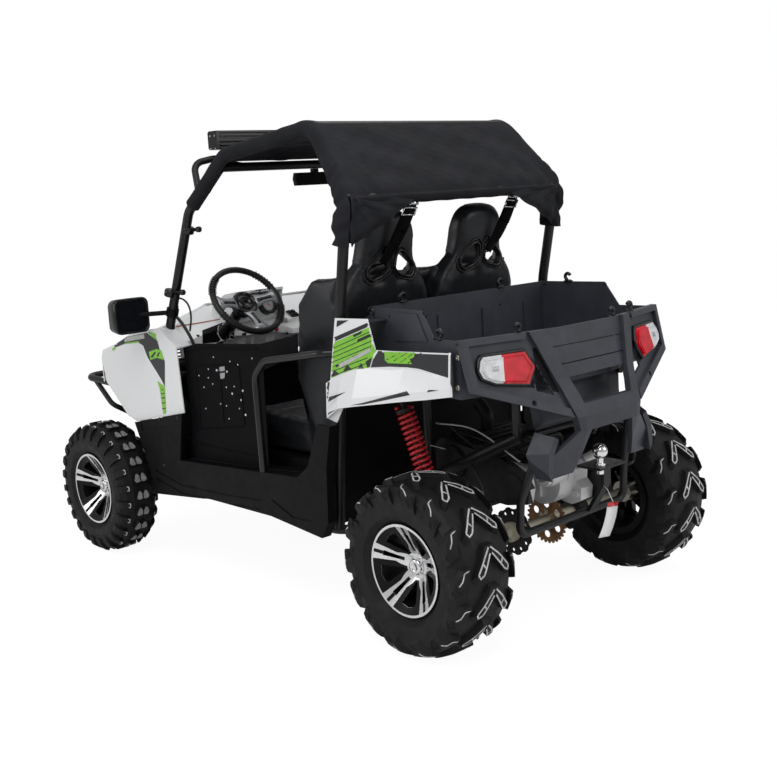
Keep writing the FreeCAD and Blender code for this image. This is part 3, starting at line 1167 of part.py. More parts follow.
def write_wheels():
    front_tyre = tyre(FRONT_TRACK, FRONT_TYRE_RADIUS, FRONT_TYRE_WIDTH, FRONT_RIM_HALF_WIDTH, FRONT_AXLE_Y,
                      FRONT_LUG_HEIGHT, front_tread)
    rear_tyre = tyre(REAR_TRACK, REAR_TYRE_RADIUS, REAR_TYRE_WIDTH, REAR_RIM_HALF_WIDTH, REAR_AXLE_Y,
                     REAR_LUG_HEIGHT, rear_tread)
    front_rim = rim(FRONT_TRACK, FRONT_RIM_HALF_WIDTH, FRONT_AXLE_Y, FRONT_HUB_Z)
    rear_rim = rim(REAR_TRACK, REAR_RIM_HALF_WIDTH, REAR_AXLE_Y, REAR_HUB_Z)
    for name, left in (("tyre_front", front_tyre), ("tyre_rear", rear_tyre), ("rim_front", front_rim),
                       ("rim_rear", rear_rim)):
        save(name + "_left", left)
        save(name + "_right", mirror(left))


def write_all():
    write_wheels()
    seat_parts()
    left_fender = fender()
    save("front_fender_left", left_fender)
    save("front_fender_right", mirror(left_fender))
    left_panel = rear_panel()
    save("rear_panel_left", left_panel)
    save("rear_panel_right", mirror(left_panel))
    left_knuckle = knuckle()
    save("knuckle_left", left_knuckle)
    save("knuckle_right", mirror(left_knuckle))
    arms = front_arms()
    save("front_arms", Part.makeCompound(arms.Solids + mirror(arms).Solids))
    shocks = [damper(*REAR_SHOCK), damper(*FRONT_SHOCK)]
    save("dampers", Part.makeCompound(shocks + [mirror(s) for s in shocks]))
    coils = [spring(*REAR_SHOCK, REAR_COIL_PITCH), spring(*FRONT_SHOCK, FRONT_COIL_PITCH)]
    save("springs", Part.makeCompound(coils + [mirror(s) for s in coils]))
    singles = (("lower_frame", lower_frame), ("roll_cage", cage), ("floor_tub", floor_tub), ("hood", hood),
               ("front_grille", grille), ("dash", dash), ("gauge_pods", gauges), ("front_bumper", front_bumper),
               ("cargo_bed", bed), ("rear_fascia", fascia), ("seat_belts", belts), ("canopy", canopy),
               ("light_bar", light_bar), ("mirrors", mirrors), ("engine", engine), ("exhaust", exhaust),
               ("rear_guard", rear_guard), ("swing_arm", swing_arm), ("rear_axle", rear_axle),
               ("steering_wheel", steering_wheel), ("steering_gear", steering_gear), ("steering_rack", rack))
    for name, make in singles:
        save(name, make())
    pairs = (("side_sills", sill), ("headlights", headlight), ("tail_lights", tail_light), ("hip_bars", hip_bar),
             ("side_nets", side_net))
    for name, make in pairs:
        save(name, both(make()))


write_all()
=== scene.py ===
import math

import bmesh
import bpy
import numpy as np
from mathutils import Matrix, Vector
from mathutils.bvhtree import BVHTree


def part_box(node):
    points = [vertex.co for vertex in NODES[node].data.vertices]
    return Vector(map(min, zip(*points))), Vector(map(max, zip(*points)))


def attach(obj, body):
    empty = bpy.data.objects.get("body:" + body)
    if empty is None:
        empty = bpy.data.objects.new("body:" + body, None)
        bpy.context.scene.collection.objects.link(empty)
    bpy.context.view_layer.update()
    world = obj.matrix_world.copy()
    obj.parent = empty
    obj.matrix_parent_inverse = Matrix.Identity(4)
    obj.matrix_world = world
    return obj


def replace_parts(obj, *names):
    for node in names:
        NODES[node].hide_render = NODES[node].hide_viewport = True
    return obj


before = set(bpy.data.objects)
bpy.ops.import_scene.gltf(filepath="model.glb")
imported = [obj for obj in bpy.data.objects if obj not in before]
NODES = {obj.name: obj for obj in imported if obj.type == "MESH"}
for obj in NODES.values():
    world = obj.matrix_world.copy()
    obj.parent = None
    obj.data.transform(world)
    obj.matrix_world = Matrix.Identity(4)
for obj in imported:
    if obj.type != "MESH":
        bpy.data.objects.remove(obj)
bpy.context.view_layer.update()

scene = bpy.context.scene
scene.view_settings.view_transform = "Standard"


# Camera, fitted to the photograph's square frame: focal length and middle in its pixels

FRAME = 777
FOCAL = 1156.14
MIDDLE_X, MIDDLE_Y = 400.93, 374.29


def place_camera():
    azimuth, down, roll = math.radians(137.036), math.radians(9.233), math.radians(3.220)
    forward = Vector((-math.sin(azimuth) * math.cos(down), math.cos(azimuth) * math.cos(down), -math.sin(down)))
    side = forward.cross(Vector((0, 0, 1))).normalized()
    low = forward.cross(side)
    right = side * math.cos(roll) + low * math.sin(roll)
    below = low * math.cos(roll) - side * math.sin(roll)
    data = bpy.data.cameras.new("camera")
    data.sensor_width = 36.0
    data.lens = FOCAL / FRAME * 36
    data.shift_x = (FRAME / 2 - MIDDLE_X) / FRAME
    data.shift_y = (MIDDLE_Y - FRAME / 2) / FRAME
    data.clip_end = 60
    camera = bpy.data.objects.new("camera", data)
    axes = Matrix((right, -below, -forward)).transposed()
    camera.matrix_world = Matrix.Translation((2.860, 3.378, 1.415)) @ axes.to_4x4()
    scene.collection.objects.link(camera)
    scene.camera = camera


# Light, floor and background

def area_light(name, at, towards, size, power):
    data = bpy.data.lights.new(name, "AREA")
    data.shape = "RECTANGLE"
    data.size, data.size_y = size
    data.energy = power
    lamp = bpy.data.objects.new(name, data)
    lamp.location = at
    lamp.rotation_euler = (Vector(towards) - Vector(at)).to_track_quat("-Z", "Y").to_euler()
    scene.collection.objects.link(lamp)


def two_ways(tree, out, other, direct, share=1.0):
    """Mix what the camera sees directly into the surface that the light meets."""
    path = tree.nodes.new("ShaderNodeLightPath").outputs["Is Camera Ray"]
    if share != 1.0:
        part = tree.nodes.new("ShaderNodeMath")
        part.operation = "MULTIPLY"
        part.inputs[1].default_value = share
        tree.links.new(path, part.inputs[0])
        path = part.outputs[0]
    mix = tree.nodes.new("ShaderNodeMixShader")
    for source, target in ((path, 0), (other.outputs[0], 1), (direct.outputs[0], 2)):
        tree.links.new(source, mix.inputs[target])
    tree.links.new(mix.outputs[0], tree.nodes.new(out).inputs[0])


def node_of(tree, kind, color=None, strength=None):
    node = tree.nodes.new(kind)
    if color:
        node.inputs["Color"].default_value = (color, color, color, 1)
    if strength:
        node.inputs["Strength"].default_value = strength
    return node


def make_studio():
    """White surroundings, and a floor that fades into them but keeps the shadow."""
    scene.world = bpy.data.worlds.new("studio")
    scene.world.use_nodes = True
    tree = scene.world.node_tree
    tree.nodes.clear()
    two_ways(tree, "ShaderNodeOutputWorld", node_of(tree, "ShaderNodeBackground", 1, 0.40),
             node_of(tree, "ShaderNodeBackground", 1, 1.0))
    half = 40
    mesh = bpy.data.meshes.new("floor")
    mesh.from_pydata([(-half, -half, 0), (half, -half, 0), (half, half, 0), (-half, half, 0)], [], [(0, 1, 2, 3)])
    floor = bpy.data.objects.new("floor", mesh)
    scene.collection.objects.link(floor)
    material = bpy.data.materials.new("floor")
    material.use_nodes = True
    tree = material.node_tree
    tree.nodes.clear()
    two_ways(tree, "ShaderNodeOutputMaterial", node_of(tree, "ShaderNodeBsdfDiffuse", 0.92),
             node_of(tree, "ShaderNodeEmission", None, 1.15), 0.82)
    mesh.materials.append(material)
    area_light("key", (2.6, 2.2, 4.2), (0, 0.2, 0.6), (3.2, 3.2), 72)
    area_light("top", (-1.2, 0.4, 4.6), (0, 0, 0.8), (4.0, 3.0), 56)
    area_light("side", (4.2, -2.4, 2.2), (0, -0.3, 0.7), (2.6, 2.2), 30)
    area_light("back", (-2.0, 4.4, 2.4), (0, 0.6, 0.7), (2.6, 2.0), 26)


place_camera()
make_studio()


# Materials


class Paint:
    """A principled material with helper nodes for colour variation and bump in object space."""

    def __init__(self, name, color, rough, metal, fixed):
        self.material = bpy.data.materials.new(name)
        self.material.use_nodes = True
        self.tree = self.material.node_tree
        self.shader = self.tree.nodes["Principled BSDF"]
        self.color = color
        self.shader.inputs["Base Color"].default_value = (*color, 1)
        self.shader.inputs["Roughness"].default_value = rough
        self.shader.inputs["Metallic"].default_value = metal
        for key, value in fixed.items():
            self.shader.inputs[key].default_value = value
        self.place = self.tree.nodes.new("ShaderNodeTexCoord").outputs["Object"]
        self.height = None

    def noise(self, scale, detail=3.0, stretch=None):
        node = self.tree.nodes.new("ShaderNodeTexNoise")
        node.inputs["Scale"].default_value = scale
        node.inputs["Detail"].default_value = detail
        source = self.place
        if stretch:
            mapping = self.tree.nodes.new("ShaderNodeMapping")
            mapping.inputs["Scale"].default_value = stretch
            self.tree.links.new(source, mapping.inputs["Vector"])
            source = mapping.outputs["Vector"]
        self.tree.links.new(source, node.inputs["Vector"])
        return node.outputs["Fac"]

    def ramp(self, source, stops):
        node = self.tree.nodes.new("ShaderNodeValToRGB")
        ramp = node.color_ramp
        while len(ramp.elements) < len(stops):
            ramp.elements.new(0.5)
        for element, (at, value) in zip(ramp.elements, stops):
            element.position = at
            element.color = (*value, 1) if hasattr(value, "__len__") else (value, value, value, 1)
        self.tree.links.new(source, node.inputs["Fac"])
        return node.outputs["Color"]

    def vary(self, scale, amount, detail=4.0, low=0.3, high=0.7, stretch=None):
        """Base colour that drifts between a darker and a lighter tone."""
        dark = tuple(c * (1 - amount) for c in self.color)
        light = tuple(min(1, c * (1 + amount) + 0.004 * amount) for c in self.color)
        tone = self.ramp(self.noise(scale, detail, stretch), ((low, dark), (high, light)))
        self.tree.links.new(tone, self.shader.inputs["Base Color"])
        return self

    def roughen(self, scale, low, high, detail=3.0, stretch=None):
        value = self.ramp(self.noise(scale, detail, stretch), ((0.3, low), (0.7, high)))
        self.tree.links.new(value, self.shader.inputs["Roughness"])
        return self

    def bump(self, source, strength, distance):
        node = self.tree.nodes.new("ShaderNodeBump")
        node.inputs["Strength"].default_value = strength
        node.inputs["Distance"].default_value = distance
        self.tree.links.new(source, node.inputs["Height"])
        if self.height:
            self.tree.links.new(self.height, node.inputs["Normal"])
        self.height = node.outputs["Normal"]
        self.tree.links.new(self.height, self.shader.inputs["Normal"])
        return self

    def grain(self, scale, strength, distance, detail=2.0, stretch=None):
        return self.bump(self.noise(scale, detail, stretch), strength, distance)

    def weave(self, across, strength, distance, axes=(0, 1)):
        """Crossed fine waves, such as a plain weave seen along one axis."""
        parts = []
        for axis in axes:
            wave = self.tree.nodes.new("ShaderNodeTexWave")
            wave.wave_type = "BANDS"
            wave.bands_direction = "XYZ"[axis]
            wave.inputs["Scale"].default_value = across
            wave.inputs["Distortion"].default_value = 0.6
            wave.inputs["Detail"].default_value = 1.0
            self.tree.links.new(self.place, wave.inputs["Vector"])
            parts.append(wave.outputs["Fac"])
        join = self.tree.nodes.new("ShaderNodeMath")
        join.operation = "MULTIPLY"
        self.tree.links.new(parts[0], join.inputs[0])
        self.tree.links.new(parts[1], join.inputs[1])
        return self.bump(join.outputs[0], strength, distance)


FILM = {"Coat Weight": 0.3, "Coat Roughness": 0.06}
# key: name, colour, roughness, metal, other sockets, then drift, roughness range and grains, as Paint takes them
PAINTS = {
    "frame": ("frame_black", (0.007, 0.007, 0.008), 0.26, 0, {"Specular IOR Level": 0.4},
              (9, 0.25), (30, 0.28, 0.42), (420, 0.10, 0.0006)),
    "white": ("body_white", (0.90, 0.91, 0.92), 0.16, 0, {"Coat Weight": 0.4, "Coat Roughness": 0.05},
              (4, 0.02), None, (60, 0.02, 0.0008)),
    "grey": ("panel_grey", (0.036, 0.039, 0.050), 0.46, 0, {"Specular IOR Level": 0.45},
             (14, 0.14), (24, 0.40, 0.54), (900, 0.30, 0.0006), (180, 0.10, 0.0008)),
    "tub": ("tub_black", (0.0032, 0.0032, 0.0042), 0.55, 0, {"Specular IOR Level": 0.13},
            (12, 0.2), (24, 0.42, 0.58), (700, 0.22, 0.0006)),
    "seat": ("seat_black", (0.012, 0.013, 0.016), 0.36, 0, {"Specular IOR Level": 0.36},
             (8, 0.18), (40, 0.28, 0.42), (520, 0.22, 0.0005)),
    "tyre": ("rubber_tyre", (0.006, 0.006, 0.007), 0.56, 0, {"Specular IOR Level": 0.3},
             (12, 0.25), (30, 0.46, 0.68), (240, 0.15, 0.0008)),
    # painted highlight: the pale lines laid on the tyres' tread edges stand for the light that those edges catch
    "edge": ("rubber_edge", (0.60, 0.60, 0.61), 0.5, 0, {}, (30, 0.25), (40, 0.4, 0.6), (240, 0.10, 0.0006)),
    # painted highlight: the front tyres' outermost block tops, paler where they catch the light
    "rubber_highlight": ("rubber_pale", (0.26, 0.26, 0.27), 0.55, 0, {},
                    (60, 0.35), (40, 0.45, 0.65), (300, 0.15, 0.0008)),
    "rim_face": ("rim_machined", (0.86, 0.86, 0.87), 0.22, 0.7, {}, (20, 0.04), (60, 0.18, 0.32), (300, 0.04, 0.0004)),
    "rim_dark": ("rim_black", (0.005, 0.005, 0.006), 0.38, 0, {"Specular IOR Level": 0.18},
                 (14, 0.2), None, (300, 0.05, 0.0004)),
    "alloy": ("cast_alloy", (0.64, 0.64, 0.65), 0.42, 0.35, {}, (16, 0.14), (40, 0.34, 0.55), (420, 0.35, 0.0010)),
    "alloy_dark": ("cast_grey", (0.016, 0.016, 0.018), 0.42, 0, {"Specular IOR Level": 0.4},
                   (16, 0.3), (40, 0.4, 0.6), (420, 0.35, 0.0010)),
    "steel": ("bare_steel", (0.48, 0.45, 0.40), 0.34, 1, {}, (18, 0.18), (30, 0.26, 0.46), (260, 0.08, 0.0005)),
    "cream": ("axle_zinc", (0.58, 0.54, 0.44), 0.40, 0.35, {}, (18, 0.15), (30, 0.32, 0.50), (260, 0.10, 0.0006)),
    "rusty": ("rusty_steel", (0.24, 0.13, 0.06), 0.5, 0.55, {}, (22, 0.45), (30, 0.4, 0.7), (260, 0.2, 0.0008)),
    "chrome": ("bright_steel", (0.85, 0.85, 0.86), 0.10, 1, {}, (10, 0.03), None, (120, 0.03, 0.0004)),
    "red": ("spring_red", (0.58, 0.014, 0.024), 0.26, 0, {"Coat Weight": 0.4, "Coat Roughness": 0.08},
            (12, 0.12), None, (200, 0.05, 0.0005)),
    "grip": ("grip_rubber", (0.011, 0.011, 0.011), 0.42, 0, {"Specular IOR Level": 0.4},
             (20, 0.2), None, (600, 0.3, 0.0006)),
    "lens_white": ("lens_white", (0.74, 0.75, 0.76), 0.12, 0, {"Coat Weight": 0.6, "Coat Roughness": 0.03},
                   (30, 0.10), None, (40, 0.05, 0.001)),
    "gloss_black": ("gloss_black", (0.008, 0.008, 0.009), 0.16, 0, {"Specular IOR Level": 0.45},
                    (10, 0.15), None, (200, 0.03, 0.0004)),
    "green": ("decal_green", (0.235, 0.60, 0.035), 0.28, 0, FILM, (40, 0.10), None, (60, 0.02, 0.0006)),
    "decal_black": ("decal_black", (0.012, 0.012, 0.014), 0.25, 0, FILM, (20, 0.15), None, (60, 0.02, 0.0006)),
    "decal_grey": ("decal_grey", (0.018, 0.019, 0.022), 0.30, 0, FILM, (20, 0.15), None, (60, 0.02, 0.0006)),
    "pale_film": ("film_pale", (0.50, 0.52, 0.48), 0.28, 0, FILM, (90, 0.18), None, (60, 0.02, 0.0006)),
    "dark_glass": ("mirror_dark", (0.006, 0.007, 0.009), 0.04, 0, {"Specular IOR Level": 0.6},
                   (3, 0.2), None, (6, 0.01, 0.0006)),
    "pale_card": ("card_white", (0.82, 0.82, 0.81), 0.5, 0, {}, (30, 0.03), None, (300, 0.08, 0.0003)),
    "hose": ("hose_rubber", (0.011, 0.011, 0.011), 0.42, 0, {"Specular IOR Level": 0.4},
             (20, 0.2), None, (300, 0.15, 0.0006)),
    "rust_line": ("plastic_brown", (0.34, 0.08, 0.02), 0.4, 0, {}, (30, 0.15), None, (300, 0.1, 0.0004)),
    "silver": ("plastic_silver", (0.42, 0.43, 0.45), 0.35, 0.5, {}, (20, 0.08), None, (300, 0.05, 0.0004)),
}


def make_materials():
    made = {}
    for key, (name, color, rough, metal, others, drift, spread, *grains) in PAINTS.items():
        paint = made[key] = Paint(name, color, rough, metal, others).vary(*drift)
        if spread:
            paint.roughen(*spread)
        for grain in grains:
            paint.grain(*grain)
    cloth = {"Specular IOR Level": 0.25}
    made["canopy"] = Paint("canopy_fabric", (0.013, 0.0135, 0.017), 0.88, 0, cloth).vary(10, 0.25)
    made["canopy"].weave(260, 0.25, 0.0006).grain(16, 0.25, 0.004)
    web = {"Specular IOR Level": 0.08}
    made["belt"] = Paint("belt_webbing", (0.0030, 0.0030, 0.0040), 0.62, 0, web).vary(30, 0.2)
    made["belt"].weave(330, 0.4, 0.0005, (0, 2))
    return {key: paint.material for key, paint in made.items()}


MAT = make_materials()
NODE_MATERIAL = {
    "frame": "lower_frame roll_cage front_bumper hip_bars exhaust rear_guard swing_arm front_arms dampers "
             "steering_gear knuckle_left knuckle_right",
    "white": "hood front_fender_left front_fender_right dash rear_panel_left rear_panel_right",
    "tub": "floor_tub side_sills front_grille mirrors",
    "grey": "cargo_bed rear_fascia",
    "gloss_black": "gauge_pods light_bar",
    "seat": "seat_left seat_right",
    "belt": "seat_belts side_nets",
    "tyre": "tyre_front_left tyre_front_right tyre_rear_left tyre_rear_right",
    "rim_face": "rim_front_left rim_front_right rim_rear_left rim_rear_right",
    "steel": "steering_rack rear_axle",
    "lens_white": "headlights", "canopy": "canopy", "alloy": "engine", "red": "springs", "grip": "steering_wheel",
}


def coat(name, key):
    """One material for a whole CAD node."""
    materials = NODES[name].data.materials
    materials.clear()
    materials.append(MAT[key])


for key, names in NODE_MATERIAL.items():
    for name in names.split():
        coat(name, key)


# Small helpers for meshes

def new_object(name, verts, faces, material, body="chassis", slot=None, smooth=True, thick=0.0):
    mesh = bpy.data.meshes.new(name)
    mesh.from_pydata([tuple(v) for v in verts], [], faces)
    mesh.validate()
    if smooth:
        mesh.polygons.foreach_set("use_smooth", [True] * len(mesh.polygons))
    mesh.materials.append(MAT[material])
    made = bpy.data.objects.new(name, mesh)
    scene.collection.objects.link(made)
    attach(made, body)
    if thick:
        modifier = made.modifiers.new("thickness", "SOLIDIFY")
        modifier.thickness = thick
        modifier.offset = 0.0
    return made


def bevel(made, width):
    modifier = made.modifiers.new("bevel", "BEVEL")
    modifier.width = width
    modifier.segments = 2


def flipped(verts, faces):
    return [Vector((-v[0], v[1], v[2])) for v in verts], [tuple(reversed(f)) for f in faces]


def join_parts(parts):
    verts, faces = [], []
    for some_verts, some_faces in parts:
        base = len(verts)
        verts += some_verts
        faces += [tuple(base + i for i in f) for f in some_faces]
    return verts, faces


def both_sides(parts):
    """The parts and their twins on the vehicle's other side."""
    return join_parts(parts + [flipped(*part) for part in parts])


def cast(tree, origin, way, *far):
    """Where a ray meets the surfaces of a tree, and which way they face there."""
    return tree.ray_cast(origin, Vector(way), *far)[:2]


def ring_faces(rings, sides, base=0, closed=False):
    """Faces between rings that have as many points each."""
    faces = []
    for k in range(rings if closed else rings - 1):
        near, far = base + k * sides, base + (k + 1) % rings * sides
        faces += [(near + j, near + (j + 1) % sides, far + (j + 1) % sides, far + j) for j in range(sides)]
    return faces


def scaled(points, wide, high):
    """An outline drawn in or out about the mean of its points."""
    cx, cy = (sum(p[k] for p in points) / len(points) for k in (0, 1))
    return [(cx + (x - cx) * wide, cy + (y - cy) * high) for x, y in points]


def rounded_route(points, bend, steps=6):
    """A polyline with its corners turned into arcs of the given bend radius."""
    points = [Vector(p) for p in points]
    route = [points[0]]
    for before, corner, after in zip(points, points[1:], points[2:]):
        into = (corner - before).normalized()
        out = (after - corner).normalized()
        half = into.angle(out) / 2
        room = min((corner - before).length, (after - corner).length) * 0.45
        cut = min(bend * math.tan(half), room)
        start, end = corner - into * cut, corner + out * cut
        for k in range(steps + 1):
            t = k / steps
            route.append(start * (1 - t) ** 2 + corner * 2 * t * (1 - t) + end * t ** 2)
    route.append(points[-1])
    return route


def resample(route, count):
    """The same line with evenly spaced points."""
    lengths = [0.0]
    for a, b in zip(route, route[1:]):
        lengths.append(lengths[-1] + (b - a).length)
    out = []
    for k in range(count):
        want = lengths[-1] * k / (count - 1)
        i = max(j for j in range(len(lengths) - 1) if lengths[j] <= want + 1e-9)
        span = lengths[i + 1] - lengths[i]
        t = (want - lengths[i]) / span if span > 1e-9 else 0
        out.append(route[i].lerp(route[i + 1], min(1, t)))
    return out


def tube_mesh(routes, radius, sides=10):
    """Vertices and faces of round bars along routes, with closed ends."""
    verts, faces = [], []
    for route in routes:
        route = [Vector(p) for p in route]
        base = len(verts)
        frame_up = None
        for i, point in enumerate(route):
            way = (route[min(i + 1, len(route) - 1)] - route[max(i - 1, 0)]).normalized()
            frame_up = frame_up or way.orthogonal().normalized()
            frame_up = (frame_up - way * frame_up.dot(way)).normalized()
            side = way.cross(frame_up)
            for k in range(sides):
                a = 2 * math.pi * k / sides
                verts.append(point + frame_up * (radius * math.cos(a)) + side * (radius * math.sin(a)))
        faces += ring_faces(len(route), sides, base)
        faces.append(tuple(base + k for k in reversed(range(sides))))
        faces.append(tuple(base + (len(route) - 1) * sides + k for k in range(sides)))
    return verts, faces


def closed_tube(ring, radius, sides=8, squash=1.0):
    """Bead along a closed loop."""
    verts, count = [], len(ring)
    for i in range(count):
        way = (ring[(i + 1) % count] - ring[i - 1]).normalized()
        up = Vector((0, 1, 0))
        up = (up - way * up.dot(way)).normalized()
        side = way.cross(up)
        for k in range(sides):
            a = 2 * math.pi * k / sides
            verts.append(ring[i] + up * (radius * squash * math.cos(a)) + side * (radius * math.sin(a)))
    return verts, ring_faces(count, sides, closed=True)


def lathe(at, axis, profile, sides=32, hexagons=0):
    """Turned shape: (radius, distance along the axis) pairs. The last rings may be those of a hex socket."""
    at, axis = Vector(at), Vector(axis).normalized()
    a = axis.orthogonal().normalized()
    b = axis.cross(a)
    verts = []
    for k, (r, h) in enumerate(profile):
        for j in range(sides):
            t = 2 * math.pi * j / sides
            if k >= len(profile) - hexagons:
                out = r * (math.cos(math.pi / 6) / math.cos(t % (math.pi / 3) - math.pi / 6))
            else:
                out = r
            verts.append(at + (a * math.cos(t) + b * math.sin(t)) * out + axis * h)
    faces = ring_faces(len(profile), sides)
    if not hexagons:
        faces.append(tuple(reversed(range(sides))))
    faces.append(tuple((len(profile) - 1) * sides + j for j in range(sides)))
    return verts, faces


def dome(at, normal, radius, height, sides=16):
    """A low round head with a hex socket sunk into it."""
    profile = [(radius, -0.001), (radius, height * 0.35), (radius * 0.86, height * 0.8), (radius * 0.62, height),
               (radius * 0.42, height), (radius * 0.40, height * 0.35)]
    return lathe(at, normal, profile, sides, 2)


def spline(points, steps):
    """Smooth curve through the given points."""
    points = [Vector(p) for p in points]
    ends = [points[0] * 2 - points[1]] + points + [points[-1] * 2 - points[-2]]
    made = []
    for a, b, c, d in zip(ends, ends[1:], ends[2:], ends[3:]):
        for k in range(steps):
            t = k / steps
            made.append((b * 2 + (c - a) * t + (a * 2 - b * 5 + c * 4 - d) * t ** 2
                         + (b * 3 - a - c * 3 + d) * t ** 3) / 2)
    return made + [points[-1]]


def plate_mesh(outlines, offset, thickness):
    """Flat or curved thin plates. An outline is a list of points, and offset the way that the plate faces."""
    verts, faces = [], []
    for outline in outlines:
        n = len(outline)
        base = len(verts)
        verts += [Vector(p) for p in outline]
        verts += [Vector(p) + Vector(offset) * thickness for p in outline]
        faces.append(tuple(base + k for k in reversed(range(n))))
        faces.append(tuple(base + n + k for k in range(n)))
        for k in range(n):
            a, b = base + k, base + (k + 1) % n
            faces.append((a, b, b + n, a + n))
    return verts, faces


# Canopy: one sheet over the cage, sewn round the side tubes and the rear bar

SHIFT = 0.035
PILLAR_TOP = Vector((0.475, -0.312, 1.364))
ROOF_FRONT = Vector((0.460, -0.076, 1.555))
ROOF_PEAK = Vector((0.452, 0.409, 1.620))
ROOF_CORNER = Vector((0.508, 0.612, 1.385))
POST_KNEE = Vector((0.500, 0.548, 1.060))


def at_height(low, high, z):
    return low + (high - low) * ((z - low.z) / (high.z - low.z))


def woven(rows):
    """Faces between rows of point numbers."""
    return [(one[j], one[j + 1], two[j + 1], two[j]) for one, two in zip(rows, rows[1:]) for j in range(len(one) - 1)]


